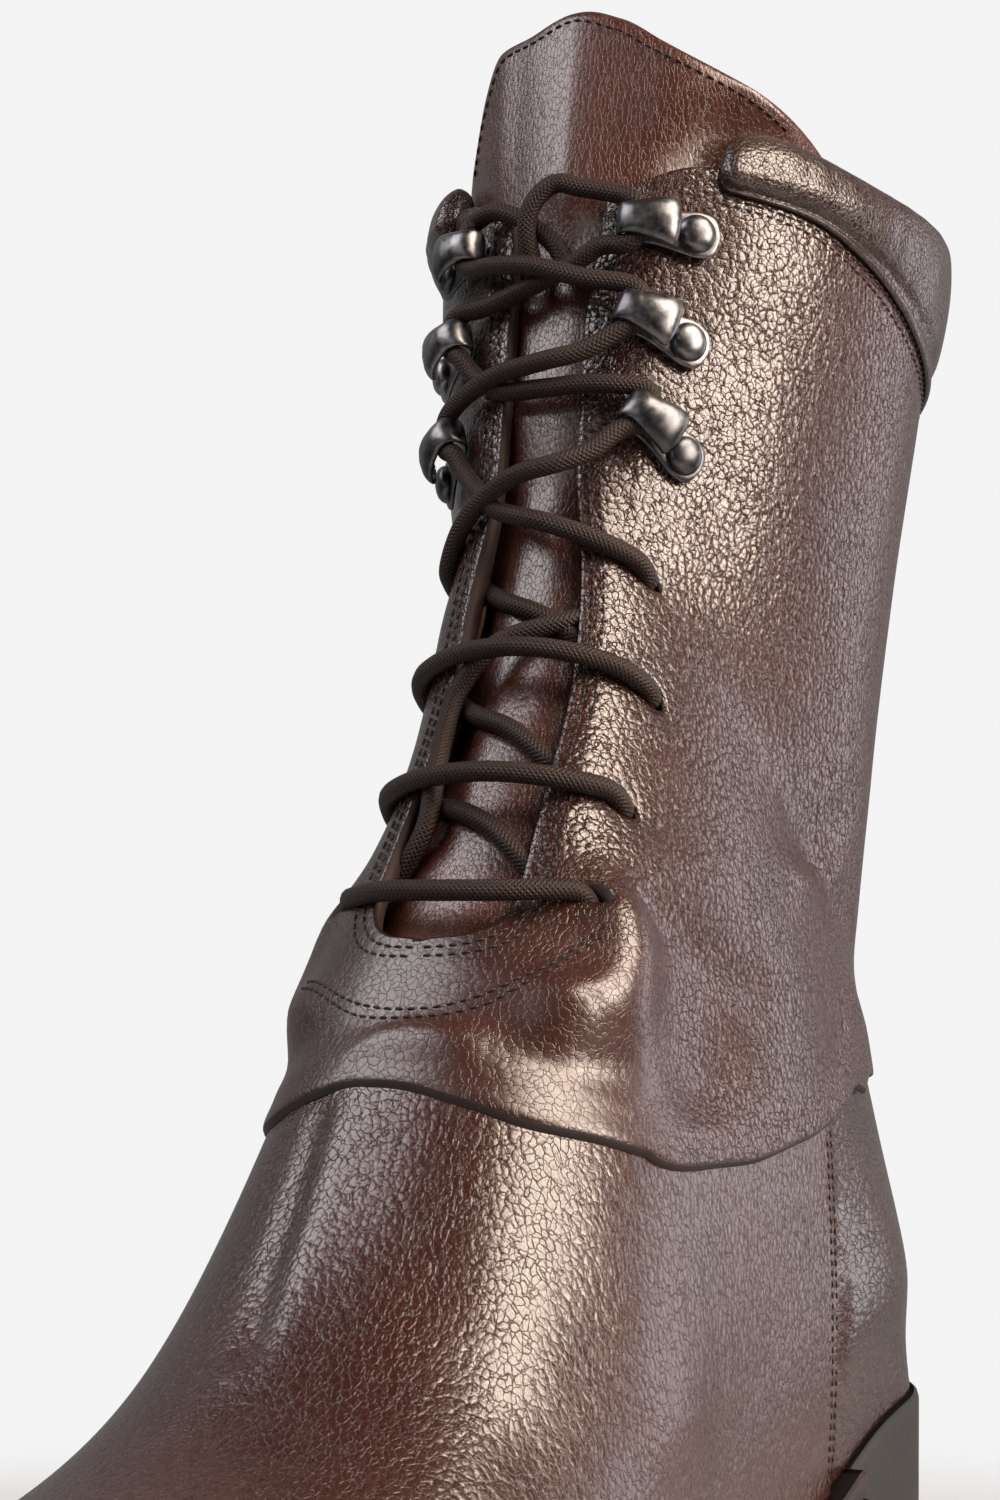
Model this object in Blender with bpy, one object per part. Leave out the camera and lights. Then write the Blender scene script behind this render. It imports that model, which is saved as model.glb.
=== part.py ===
"""Lug sole boot, one left boot: a lace-up leather boot with a lugged sole and a high block heel.

Sizes are in millimetres and turned to metres when a mesh is made. Toe along +X, the wearer's left
(the outer side) along +Y, floor at Z = 0.
"""

import bmesh
import bpy
import numpy as np
from mathutils import Vector

# Driving sizes, mm
MM = 0.001
CENTRE_X = 134.84         # heel back to the middle of the boot's length
CENTRE_Y = 0.77           # the sole's middle, off the last's own middle line
WALL = 2.0                # leather and lining of the vamp
SHAFT_STEP = 1.5          # how far the shaft panel stands proud of the vamp
SHAFT_INSIDE = 1.0        # inner face of the shaft, inside the last's surface
GAP = 0.3                 # between pieces that touch
EYELET_RADIUS = 2.6
LACE_RADIUS = 1.75
MIDSOLE = 5.0
SOLE_MARGIN = 4.0         # how far the sole stands out past the upper
HEEL_MARGIN = 1.0
LUG_DEPTH = 9.0
SOLE_AT_BALL = 15.0       # midsole and outsole together, without the lugs
SOLE_AT_BREAST = 8.5
HEEL_BREAST_X = 66.0
HEEL_LIFT = 9.0
TONGUE_THICK = 2.2

# The last, a row for each section from toe to collar. A section runs from its bottom point to its
# top point. lateral and medial are half widths, widest and base are shares of height and width,
# crown and lower are the powers of the upper and lower curve, lean moves the ridge outwards.
SECTION_COLUMNS = ("bottom_x", "bottom_z", "top_x", "top_z", "lateral", "medial",
                   "widest", "base", "crown", "lower", "lean")
SECTIONS = (
    ("tip", 270, 35.0, 270, 54, 40, 35, .34, .98, 2.3, 2.0, 0),
    ("toe", 250, 30.2, 250, 58, 43, 37, .32, .98, 2.1, 2.0, 0),
    ("toe_box", 226, 26.2, 226, 65, 46, 39, .29, .98, 1.95, 2.0, 0),
    ("ball", 198, 23.8, 200, 83, 47, 39.5, .26, .97, 1.85, 2.0, 0.5),
    ("vamp", 165, 24.0, 180, 111, 45, 40, .24, .96, 1.95, 2.0, 2),
    ("instep", 125, 29.0, 165, 136, 41, 39.5, .25, .95, 2.25, 2.0, 3.5),
    ("waist", 85, 41.5, 153, 156, 37.5, 38.5, .28, .93, 2.35, 2.0, 4),
    ("heel_front", 45, 55.5, 142.5, 173, 36, 38, .32, .92, 2.35, 2.1, 4),
    ("heel", 18, 59.6, 134, 188, 34, 37, .37, .90, 2.3, 2.25, 3.5),
    ("heel_back", 3, 60.5, 129, 201, 31.5, 36.5, .41, .8, 2.25, 2.3, 3),
    ("counter", 0.5, 80, 126, 212, 28.5, 34.5, .44, .8, 2.2, 2.1, 3),
    ("ankle_low", 10, 103, 123.5, 222, 27.5, 33, .47, .8, 2.15, 2.0, 2.5),
    ("ankle", 15.5, 130, 121, 233, 29, 34.5, .49, .8, 2.15, 2.0, 2),
    ("shaft_low", 15, 163, 118.5, 245.5, 32.5, 37.5, .50, .8, 2.15, 2.1, 1.5),
    ("shaft_mid", 9.5, 205, 116, 258, 36.5, 40.5, .50, .8, 2.15, 2.1, 1),
    ("shaft_high", 3, 250, 113.5, 270, 41.7, 43, .50, .8, 2.15, 2.1, 1),
    ("collar", -2, 290, 111.5, 282, 44.5, 44.5, .50, .8, 2.15, 2.1, 1),
)
CORNER_COLUMNS = ("bottom_x", "bottom_z", "base")   # these have a corner at the back of the heel
TIP_X = 270.0
TOE_ROUND_X = 222.0       # where the plan starts to round to the tip
TOE_DROP_X = 236.0        # where the toe's top starts to fall
TOE_DROP_POWER = 2.4
HEEL_CENTRE_X = 34.0
HEEL_RADIUS = 31.0
RIDGE_SHARE = 0.55        # share of the columns from the ridge to the widest line

# Lines on the last. q runs along it from the tip (0) to the collar, a across it from the medial
# base (-1) over the ridge (0) to the lateral base (1).
SHAFT_EDGE = ((0, 115), (.083, 115.8), (.169, 119.4), (.311, 139.5), (.456, 182), (.5, 203),
              (.55, 236), (.65, 258), (.8, 276), (1, 288))                     # a, q
COLLAR_EDGE = ((0, 389), (.05, 391), (.1, 396), (.15, 398), (.25, 398), (.5, 396.5), (1, 396))
ROLL_LOWER_EDGE = ((.18, 391), (.255, 389.5), (.352, 388), (.455, 384.7), (.542, 382), (.6, 380),
                   (.7, 378.5), (1, 379))                                      # a, q
ROLL_RISE = ((.18, 6), (.25, 7.5), (.33, 6), (.42, 4), (.5, 3), (1, 2.6))      # a, mm above the collar edge
THROAT = ((147, 0), (149, .03), (152.5, .062), (157, .082), (164, .095), (212, .09), (245, .092),
          (290, .075), (345, .06), (400, .068))                                # q, half width in a
TONGUE_TOP = ((-.42, 403), (-.278, 411), (-.24, 418), (-.187, 440.5), (-.138, 457), (-.073, 462.5),
              (0, 469.5), (.056, 462), (.116, 449), (.173, 438), (.236, 427.5), (.302, 418),
              (.42, 405))                                                      # a, q
TONGUE_FOOT_Q = 132.0
TONGUE_FOOT_HALF = 0.13
TONGUE_TOP_HALF = 0.42
TONGUE_TUCK = 3.2         # mm that its sides stand back behind the collar roll
TONGUE_SINK = 2.4         # mm that it stands back where laces run between it and the facings
EYELETS = ((173, .192), (205, .192), (236.5, .203), (264.7, .206))             # q, a
HOOKS = ((303, .215), (334, .188), (372, .163))                                # q, a of the middle
KNOT_Q = 388.0

HALF_COLUMNS = 16
FEATHER_X = (270, 269, 265.5, 259, 249, 236, 220, 200, 178, 155, 130, 105, 80, 58, 40, 27, 17, 9.5,
             4.8, 3)                                                           # rows along the sole's edge
HEEL_ROWS = (.885, .92, .955, 1)                                               # share of the back's edge
SHAFT_ROWS = (0, .06, "throat", .235, .31, .385, .46, .535, .61, .685, .76, .835, .91, 1)
THROAT_ROW_COUNT = 5
ROLL_FIRST_COLUMN = 3


def steady(table, q):
    """Curve through the table's (knot, value) rows that never swings past them; straight beyond."""
    knots = np.array([row[0] for row in table], float)
    values = np.array([row[1] for row in table], float)
    step = np.diff(knots)
    rise = np.diff(values)/step
    tilt = np.concatenate([[rise[0]], np.zeros(len(rise) - 1), [rise[-1]]])
    same = rise[1:]*rise[:-1] > 0
    before = np.where(same, rise[:-1], 1.0)
    after = np.where(same, rise[1:], 1.0)
    first = 2*step[1:] + step[:-1]
    second = step[1:] + 2*step[:-1]
    tilt[1:-1] = np.where(same, (first + second)*before*after/(first*after + second*before), 0)
    inner = np.clip(q, knots[0], knots[-1])
    i = np.clip(np.searchsorted(knots, inner) - 1, 0, len(step) - 1)
    t = (inner - knots[i])/step[i]
    curve = (values[i]*(1 + 2*t)*(1 - t)**2 + values[i + 1]*t*t*(3 - 2*t)
             + step[i]*(tilt[i]*t*(1 - t)**2 - tilt[i + 1]*t*t*(1 - t)))
    return curve + tilt[-1]*np.maximum(q - knots[-1], 0)


def natural(table, q):
    """Natural cubic curve through the table's (knot, value) rows; straight beyond the last."""
    knots = np.array([row[0] for row in table], float)
    values = np.array([row[1] for row in table], float)
    step = np.diff(knots)
    rise = np.diff(values)/step
    count = len(knots)
    system = np.eye(count)
    right = np.zeros(count)
    for i in range(1, count - 1):
        system[i, i - 1:i + 2] = step[i - 1], 2*(step[i - 1] + step[i]), step[i]
        right[i] = 6*(rise[i] - rise[i - 1])
    bend = np.linalg.solve(system, right)
    slope = rise - step*(2*bend[:-1] + bend[1:])/6
    i = np.clip(np.searchsorted(knots, q) - 1, 0, count - 2)
    t = np.minimum(q, knots[-1]) - knots[i]
    curve = values[i] + t*(slope[i] + t*(bend[i]/2 + t*(bend[i + 1] - bend[i])/(6*step[i])))
    end_slope = rise[-1] + step[-1]*bend[-2]/6
    return curve + end_slope*np.maximum(q - knots[-1], 0)


def section_knots():
    """q of each section: half the way along the bottom points and the top points together."""
    points = np.array([row[1:5] for row in SECTIONS], float)
    steps = np.diff(points, axis=0)
    length = np.hypot(steps[:, 0], steps[:, 1]) + np.hypot(steps[:, 2], steps[:, 3])
    return np.concatenate([[0.0], np.cumsum(length)])/2


KNOTS = section_knots()
HEEL_BACK = [row[0] for row in SECTIONS].index("heel_back")
HEEL_BACK_Q = KNOTS[HEEL_BACK]
COLUMN_TABLES = {name: [(knot, row[k + 1]) for knot, row in zip(KNOTS, SECTIONS)]
                 for k, name in enumerate(SECTION_COLUMNS)}


def column(name, q):
    """A section size at q; the bottom line turns a corner at the back of the heel."""
    rows = COLUMN_TABLES[name]
    if name not in CORNER_COLUMNS:
        return natural(rows, q)
    foot = steady(rows[:HEEL_BACK + 1], np.minimum(q, HEEL_BACK_Q))
    back = steady(rows[HEEL_BACK:], np.maximum(q, HEEL_BACK_Q))
    return np.where(q < HEEL_BACK_Q, foot, back)


def q_of_bottom(x):
    """q where the last's bottom line passes x."""
    q = np.linspace(0, HEEL_BACK_Q, 2000)
    return np.interp(-np.asarray(x, float), -column("bottom_x", q), q)


def skin(q, a, off=0.0):
    """Points of the last at q and a, grown outwards by off. Mm, shape (..., 3)."""
    q, a, off = np.broadcast_arrays(*(np.asarray(v, float) for v in (q, a, off)))
    size = {name: column(name, q) for name in SECTION_COLUMNS}
    bottom_x = size["bottom_x"]
    toe = np.clip((bottom_x - TOE_ROUND_X)/(TIP_X - TOE_ROUND_X), 0, 1)
    drop = np.clip((bottom_x - TOE_DROP_X)/(TIP_X - TOE_DROP_X), 0, 1)
    heel = np.clip((HEEL_CENTRE_X - bottom_x)/HEEL_RADIUS, 0, 1)
    open_below = q < HEEL_BACK_Q - 1e-6
    heel_share = np.where(open_below, np.sqrt(1 - heel**2), 0)
    height_share = (1 - drop**TOE_DROP_POWER)**(1/TOE_DROP_POWER)
    half = np.where(a > 0, size["lateral"], size["medial"])
    base = np.clip((half*size["base"] + off)/(half + off), 0, 1)*heel_share
    low = np.arccos(base**(size["lower"]/2))
    way = np.abs(a)
    up = way < RIDGE_SHARE
    turn = np.where(up, np.pi/2*(1 - way/RIDGE_SHARE), low*(way - RIDGE_SHARE)/(1 - RIDGE_SHARE))
    sine = np.abs(np.sin(turn))
    cosine = np.abs(np.cos(turn))
    sunk = (sine/np.maximum(np.sin(low), 1e-9))**(2/size["lower"])
    rise = np.where(up, size["widest"] + (1 - size["widest"])*sine**(2/size["crown"]),
                    size["widest"]*(1 - sunk))
    across = np.where(up, cosine**(2/size["crown"]), cosine**(2/size["lower"]))
    y = across*(half + off)*np.sqrt(1 - toe**2)*np.sign(a) + np.where(up, size["lean"]*sine, 0)
    foot_x = bottom_x - np.where(open_below, heel, 1)*off
    reach_x = size["top_x"] - foot_x
    reach_z = size["top_z"] - size["bottom_z"]
    grow = height_share*(1 + off/np.hypot(reach_x, reach_z))
    x = foot_x + rise*grow*reach_x
    z = size["bottom_z"] + rise*grow*reach_z
    stretch = np.where(open_below, np.maximum(x - TOE_ROUND_X, 0)/(TIP_X - TOE_ROUND_X), 0)
    return np.stack([x + stretch*off, y, z], -1)


def frame_at(q, a, off):
    """Place on the last, the way to the throat, up the shaft and outwards (mm, unit vectors)."""
    place = skin(q, a, off)
    side = skin(q, a - np.sign(a)*.01, off) - skin(q, a + np.sign(a)*.01, off)
    up = skin(q + 1, a, off) - skin(q - 1, a, off)
    side = side/np.linalg.norm(side)
    out = np.cross(side, up)*-np.sign(a)
    out = out/np.linalg.norm(out)
    up = np.cross(out, side)*-np.sign(a)
    return place, side, up, out


def make_material(name, colour, roughness, metallic=0.0):
    """Principled material of one colour (linear red, green, blue)."""
    material = bpy.data.materials.new(name)
    material.use_nodes = True
    shader = material.node_tree.nodes["Principled BSDF"]
    shader.inputs["Base Color"].default_value = (*colour, 1)
    shader.inputs["Roughness"].default_value = roughness
    shader.inputs["Metallic"].default_value = metallic
    return material


def make_object(name, points, faces, material):
    """One closed mesh object from points in mm; points that coincide are merged."""
    mesh = bpy.data.meshes.new(name)
    moved = (np.asarray(points, float) - (CENTRE_X, CENTRE_Y, 0))*MM
    mesh.from_pydata(moved.tolist(), [], [list(map(int, face)) for face in faces])
    work = bmesh.new()
    work.from_mesh(mesh)
    bmesh.ops.remove_doubles(work, verts=work.verts, dist=2e-6)
    bmesh.ops.dissolve_degenerate(work, edges=work.edges, dist=1e-7)
    bmesh.ops.recalc_face_normals(work, faces=work.faces)
    work.to_mesh(mesh)
    work.free()
    thing = bpy.data.objects.new(name, mesh)
    bpy.context.scene.collection.objects.link(thing)
    mesh.materials.append(material)
    return thing


def join_with(thing, other, operation):
    """Boolean of two objects; the second one is used up."""
    modifier = thing.modifiers.new("join", "BOOLEAN")
    modifier.operation = operation
    modifier.solver = "EXACT"
    modifier.object = other
    bpy.context.view_layer.update()
    graph = bpy.context.evaluated_depsgraph_get()
    result = bpy.data.meshes.new_from_object(thing.evaluated_get(graph))
    thing.modifiers.remove(modifier)
    thing.data = result
    result.name = thing.name
    bpy.data.objects.remove(other)
    return thing


def grid_faces(rows, columns, start=0, closed=False):
    """Quads of a grid of points that is stored row by row; closed joins the last column to the first."""
    faces = []
    last = columns if closed else columns - 1
    for i in range(rows - 1):
        for j in range(last):
            k = (j + 1) % columns
            faces.append((start + i*columns + j, start + i*columns + k,
                          start + (i + 1)*columns + k, start + (i + 1)*columns + j))
    return faces


def shell(outer, inner, first_column_rim, last_column_rim):
    """Points and faces of a wall between two grids of the same shape.

    It closes the last row's rim all along. The first and last columns' rims are closed over the rows
    from start to end of their (start, end) pair; elsewhere the wall's two halves are welded there.
    """
    rows, columns = outer.shape[:2]
    points = np.concatenate([outer.reshape(-1, 3), inner.reshape(-1, 3)])
    far = rows*columns
    faces = grid_faces(rows, columns) + grid_faces(rows, columns, far)
    for j, (start, end) in ((0, first_column_rim), (columns - 1, last_column_rim)):
        for i in range(start, end):
            one = i*columns + j
            two = one + columns
            faces.append((one, two, two + far, one + far))
    for j in range(columns - 1):
        one = (rows - 1)*columns + j
        faces.append((one, one + 1, one + 1 + far, one + far))
    return points, faces


def prism(rings, close_ends=True):
    """Points and faces of rings of equal count, one after another, with flat end faces."""
    rings = np.asarray(rings, float)
    count, sides = rings.shape[:2]
    faces = grid_faces(count, sides, closed=True)
    if close_ends:
        faces.append(tuple(range(sides)))
        faces.append(tuple(range((count - 1)*sides, count*sides)))
    return rings.reshape(-1, 3), faces


def ease(value, start, end):
    """Soft step from 0 at start to 1 at end."""
    t = np.clip((np.asarray(value, float) - start)/(end - start), 0, 1)
    return t*t*(3 - 2*t)


def throat_shift(way, q):
    """The facing moves back from the ridge by the throat's half width, fading to the side."""
    half = np.where(q > THROAT[0][0], steady(THROAT, q), 0)
    return way + half*np.maximum(1 - way/RIDGE_SHARE, 0)**2


def upper_rows():
    """Rows of the upper: (share of vamp or shaft, is shaft, outer offset, inner offset)."""
    edge_front, edge_back = SHAFT_EDGE[0][1], SHAFT_EDGE[-1][1]
    top_front = COLLAR_EDGE[0][1]
    rows = []
    for share in np.concatenate([q_of_bottom(FEATHER_X)/edge_back, HEEL_ROWS]):
        rows.append((share, False, 0.0, -WALL))
    for share in SHAFT_ROWS:
        if share == "throat":
            for q, _ in THROAT[:THROAT_ROW_COUNT]:
                rows.append(((q - edge_front)/(top_front - edge_front), True, SHAFT_STEP, -SHAFT_INSIDE))
        else:
            rows.append((share, True, SHAFT_STEP, -SHAFT_INSIDE))
    return rows


def upper_place(way, share, is_shaft):
    """q and |a| of the upper's grid: rows run parallel to the shaft's lower edge and the collar."""
    edge = steady(SHAFT_EDGE, way)
    if not is_shaft:
        return edge*share, way
    q = edge + (steady(COLLAR_EDGE, way) - edge)*share
    return q, throat_shift(way, q)


def make_upper(leather):
    """Hollow leather wall, its two halves welded at the back, at the toe and below the throat."""
    rows = upper_rows()
    way = np.linspace(0, 1, HALF_COLUMNS + 1)
    heel_row = len(FEATHER_X) - 1
    throat_row = len(FEATHER_X) + len(HEEL_ROWS) + SHAFT_ROWS.index("throat")
    points, faces = [], []
    for side in (-1, 1):
        outer, inner = [], []
        for share, is_shaft, out, inside in rows:
            q, a = upper_place(way, share, is_shaft)
            outer.append(skin(q, side*a, out))
            inner.append(skin(q, side*a, inside))
        wall_points, wall_faces = shell(np.array(outer), np.array(inner),
                                        (throat_row, len(rows) - 1), (0, heel_row))
        start = sum(map(len, points))
        points.append(wall_points)
        faces += [tuple(start + v for v in face) for face in wall_faces]
    upper = make_object("upper", np.concatenate(points), faces, leather)
    for q, a in EYELETS:
        for side in (-1, 1):
            place, _, _, out = frame_at(q, side*a, 0)
            ring = Vector(out).to_track_quat("Z", "Y").to_matrix()
            turn = np.arange(10)*2*np.pi/10
            circle = np.stack([np.cos(turn), np.sin(turn), np.zeros(10)], -1)*EYELET_RADIUS
            circle = circle @ np.array(ring).T
            hole = make_object("hole", *prism([place - 7*out + circle, place + 7*out + circle]), leather)
            join_with(upper, hole, "DIFFERENCE")
    return upper


def make_tongue(leather):
    """Wide tongue under the facings, its top edge cut to a point over the fold in the middle."""
    across = np.linspace(-1, 1, 15)
    along = np.linspace(0, 1, 17)
    top = steady(TONGUE_TOP, across*TONGUE_TOP_HALF)
    outer, inner = [], []
    for t in along:
        half = TONGUE_FOOT_HALF + (TONGUE_TOP_HALF - TONGUE_FOOT_HALF)*t
        q = TONGUE_FOOT_Q + (top - TONGUE_FOOT_Q)*t
        depth = SHAFT_INSIDE + .8 + TONGUE_TUCK*ease(np.abs(across*half), .1, .24)*ease(q, 345, 385)
        depth = depth + TONGUE_SINK*ease(q, 145, 165)*(1 - ease(q, 275, 310))
        outer.append(skin(q, across*half, -depth))
        inner.append(skin(q, across*half, -depth - TONGUE_THICK))
    outer, inner = np.array(outer), np.array(inner)
    rings = np.concatenate([outer, inner[:, ::-1]], axis=1)
    return make_object("tongue", *prism(rings), leather)


def collar_stations():
    """Signed |a| columns of the upper from the roll's front end round the back to the other side."""
    way = np.linspace(0, 1, HALF_COLUMNS + 1)[ROLL_FIRST_COLUMN:]
    return np.concatenate([way, -way[-2::-1]])


def make_collar_roll(leather):
    """Padded roll over the collar's edge: a saddle section, swept round the back of the shaft."""
    outside, inside = SHAFT_STEP + GAP + .1, -SHAFT_INSIDE - GAP - .1
    # share of the way from the roll's lower edge to the collar edge, share of its rise above it, offset
    profile = ((0, 0, outside), (0, 0, outside + .7), (.18, 0, outside + 2.0), (.5, 0, outside + 3.0),
               (.8, 0, outside + 3.0), (1, .4, outside + 2.2), (1, .8, outside + .6), (1, 1, .2),
               (1, .75, inside - .8), (1, .2, inside - 1.8), (.75, 0, inside - 2.2), (.5, 0, inside - 1.6),
               (.4, 0, inside))
    rings = []
    for station in collar_stations():
        way, side = abs(station), np.sign(station)
        edge = steady(COLLAR_EDGE, way)
        lower = steady(ROLL_LOWER_EDGE, way)
        a = side*throat_shift(way, edge)
        length = np.linalg.norm(skin(edge + .5, a) - skin(edge - .5, a))
        rise = steady(ROLL_RISE, way)
        ring = [skin(lower + (edge - lower)*share + rise*above/length, a, off)
                for share, above, off in profile]
        ring += [skin(edge + .4/length, a, off) for off in (inside, outside)]
        rings.append(ring)
    return make_object("collar_roll", *prism(rings), leather)


def make_back_stay(leather):
    """Strip up the back of the heel, under the shaft panel's edge, on the upper's own rows and columns."""
    way = np.linspace(0, 1, HALF_COLUMNS + 1)[-3:]
    way = np.concatenate([way, way[-2::-1]])
    side = np.repeat([1, -1], [3, 2])
    rings = []
    for share in (HEEL_BACK_Q/SHAFT_EDGE[-1][1],) + HEEL_ROWS:
        q, _ = upper_place(way, share, False)
        outer = skin(q, way*side, GAP + 1.4)
        inner = skin(q, way*side, GAP + .3)
        rings.append(np.concatenate([outer, inner[::-1]]))
    rings[0] = rings[0] + (rings[1] - rings[0])*.25
    rings[-1] = rings[-2] + (rings[-1] - rings[-2])*.7
    return make_object("back_stay", *prism(rings), leather)


def make_pull_tab(leather):
    """Small tab that stands up inside the back of the collar roll."""
    edge = COLLAR_EDGE[-1][1]
    inside = SHAFT_INSIDE + GAP + .1 + 2.2 + GAP
    back = skin(edge, 1.0, -inside)
    half_width, thick = 7.0, 2.4
    heights = (-14.0, -4.0, 4.0, 6.5, 7.2)
    insets = (0.0, 0.0, 0.0, 1.2, 3.0)
    rings = []
    for height, inset in zip(heights, insets):
        y = half_width - inset
        x = back[0] + 2.4 - .2*min(height, 0)
        rings.append([(x, -y, back[2] + height), (x + thick, -y, back[2] + height),
                      (x + thick, y, back[2] + height), (x, y, back[2] + height)])
    return make_object("pull_tab", *prism(rings), leather)


def sole_outline(q, margin):
    """Lateral and medial edge of the sole at q, grown by margin, at the height of the upper's edge."""
    return skin(q, 1.0, margin), skin(q, -1.0, margin)


def slab(name, q, levels, material):
    """Solid between rings of the sole's outline; a level is (margin, height at each q)."""
    rings = []
    for margin, height in levels:
        lateral, medial = sole_outline(q, margin)
        lateral[:, 2] = height
        medial[:, 2] = height
        rings.append(np.stack([lateral, medial], 1))
    rings = np.array(rings)
    count, rows = rings.shape[:2]
    points = rings.reshape(-1, 3)
    faces = []
    for i in range(rows - 1):
        for level in range(count - 1):
            for edge in (0, 1):
                one = (level*rows + i)*2 + edge
                faces.append((one, one + 2, one + 2 + rows*2, one + rows*2))
        for level in (0, count - 1):
            one = (level*rows + i)*2
            faces.append((one, one + 1, one + 3, one + 2))
    for i in (0, rows - 1):
        for level in range(count - 1):
            one = (level*rows + i)*2
            faces.append((one, one + 1, one + 1 + rows*2, one + rows*2))
    return make_object(name, points, faces, material)


def sole_bottom(q):
    """Height of the outsole's underside between the lugs: thick at the ball, thin at the breast."""
    x = column("bottom_x", q)
    share = np.clip((x - HEEL_BREAST_X)/(165.0 - HEEL_BREAST_X), 0, 1)
    height = column("bottom_z", q) - SOLE_AT_BREAST - (SOLE_AT_BALL - SOLE_AT_BREAST)*share
    return np.where(np.abs(height - LUG_DEPTH) < .7, LUG_DEPTH, height)


def add_lug(body, corners, bottom, top, material):
    """Joins a tapered block to the body: corners in plan, a little smaller at the bottom."""
    corners = np.asarray(corners, float)
    middle = corners.mean(0)
    foot = middle + (corners - middle)*.86
    rings = [np.column_stack([foot, bottom]), np.column_stack([corners, top])]
    return join_with(body, make_object("lug", *prism(rings), material), "UNION")


def heel_rows():
    """q of the heel's outline from its breast to its back, on the upper's rows."""
    return q_of_bottom([HEEL_BREAST_X] + [x for x in FEATHER_X if x < HEEL_BREAST_X])


def sole_rows():
    """q of the sole's outline from the tip to the heel breast, on the upper's rows."""
    return q_of_bottom([x for x in FEATHER_X if x > HEEL_BREAST_X] + [HEEL_BREAST_X + GAP])


def make_outsole(rubber):
    """Rubber sole with side lugs along both edges and bars down the middle."""
    q = sole_rows()
    top = column("bottom_z", q) - MIDSOLE - GAP
    bottom = sole_bottom(q)
    levels = ((SOLE_MARGIN, top), (SOLE_MARGIN + .8, top - 1.2), (SOLE_MARGIN + .8, (top + bottom)/2 + .8),
              (SOLE_MARGIN, (top + bottom)/2), (SOLE_MARGIN + .8, (top + bottom)/2 - .8),
              (SOLE_MARGIN + .4, bottom))
    sole = slab("outsole", q, levels, rubber)
    pitch, lug_length, lug_width, bar_half = 19.0, 12.0, 19.0, 11.0
    for k, x in enumerate(np.arange(248.0, 118.0, -pitch)):
        ends = np.array([x + lug_length/2, x - lug_length/2])
        lugs = []
        for edge in (0, 1):
            sign = 1 - 2*edge
            outline = np.array([sole_outline(q_of_bottom(end), SOLE_MARGIN - .3)[edge] for end in ends])
            inner_y = outline[:, 1] - sign*lug_width
            slant = 3.0
            lugs.append([(outline[0, 0], outline[0, 1]), (outline[1, 0], outline[1, 1]),
                         (ends[1] - slant, inner_y[1]), (ends[0] - slant, inner_y[0])])
        bar_x = x - pitch/2
        lugs.append([(bar_x + 5, -bar_half), (bar_x + 5, bar_half + 2), (bar_x - 5, bar_half + 2),
                     (bar_x - 5, -bar_half)])
        if k == 0:
            lugs.append([(x + 22, -9), (x + 22, 9), (x + 11.5, 17), (x + 11.5, -17)])
        for corners in lugs:
            place = q_of_bottom([corner[0] for corner in corners])
            ground = np.maximum(sole_bottom(place) - LUG_DEPTH, 0)
            add_lug(sole, corners, ground, sole_bottom(place) + 2.0, rubber)
    return sole


def make_midsole(leather):
    """Layer between the outsole and the upper, from the toe to the heel breast."""
    q = sole_rows()
    top = column("bottom_z", q) - GAP
    levels = ((SOLE_MARGIN - 1, top), (SOLE_MARGIN - .4, top - 1), (SOLE_MARGIN - .4, top - MIDSOLE + 1.3),
              (SOLE_MARGIN - 1, top - MIDSOLE + GAP))
    return slab("midsole", q, levels, leather)


def make_heel_block(cover):
    """High block heel, flush under the upper, a little narrower at its foot."""
    q = heel_rows()
    top = column("bottom_z", q) - GAP
    levels = ((HEEL_MARGIN - .8, top), (HEEL_MARGIN, top - 1.5), (HEEL_MARGIN - .6, np.full(len(q), 25.0)),
              (HEEL_MARGIN, np.full(len(q), HEEL_LIFT + GAP)))
    return slab("heel_block", q, levels, cover)


def make_heel_lift(rubber):
    """Lugged rubber under the heel block: a plate with two rows of lugs and one at the back."""
    q = heel_rows()
    flat = np.ones(len(q))
    levels = ((HEEL_MARGIN, flat*HEEL_LIFT), (HEEL_MARGIN + .8, flat*(HEEL_LIFT - 1)),
              (HEEL_MARGIN + .8, flat*5.2), (HEEL_MARGIN + .3, flat*4.5))
    lift = slab("heel_lift", q, levels, rubber)
    for x in (57.0, 41.0, 25.0):
        for edge in (0, 1):
            sign = 1 - 2*edge
            ends = (x + 5.5, x - 5.5)
            outline = [sole_outline(q_of_bottom(end), HEEL_MARGIN)[edge] for end in ends]
            corners = [(ends[0], outline[0][1] - sign*.3), (ends[1], outline[1][1] - sign*.3),
                       (ends[1], sign*7.0), (ends[0], sign*7.0)]
            add_lug(lift, corners, np.zeros(4), np.full(4, 6.5), rubber)
    add_lug(lift, [(13.5, 14), (6.5, 9), (6.5, -9), (13.5, -14)], np.zeros(4), np.full(4, 6.5), rubber)
    return lift


def make_insole(cloth):
    """Bed inside the upper."""
    q = q_of_bottom(FEATHER_X)
    bed = column("bottom_z", q)
    levels = ((-WALL - 2.2, bed + 3), (-WALL - 1.0, bed + .1))
    return slab("insole", q, levels, cloth)


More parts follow.
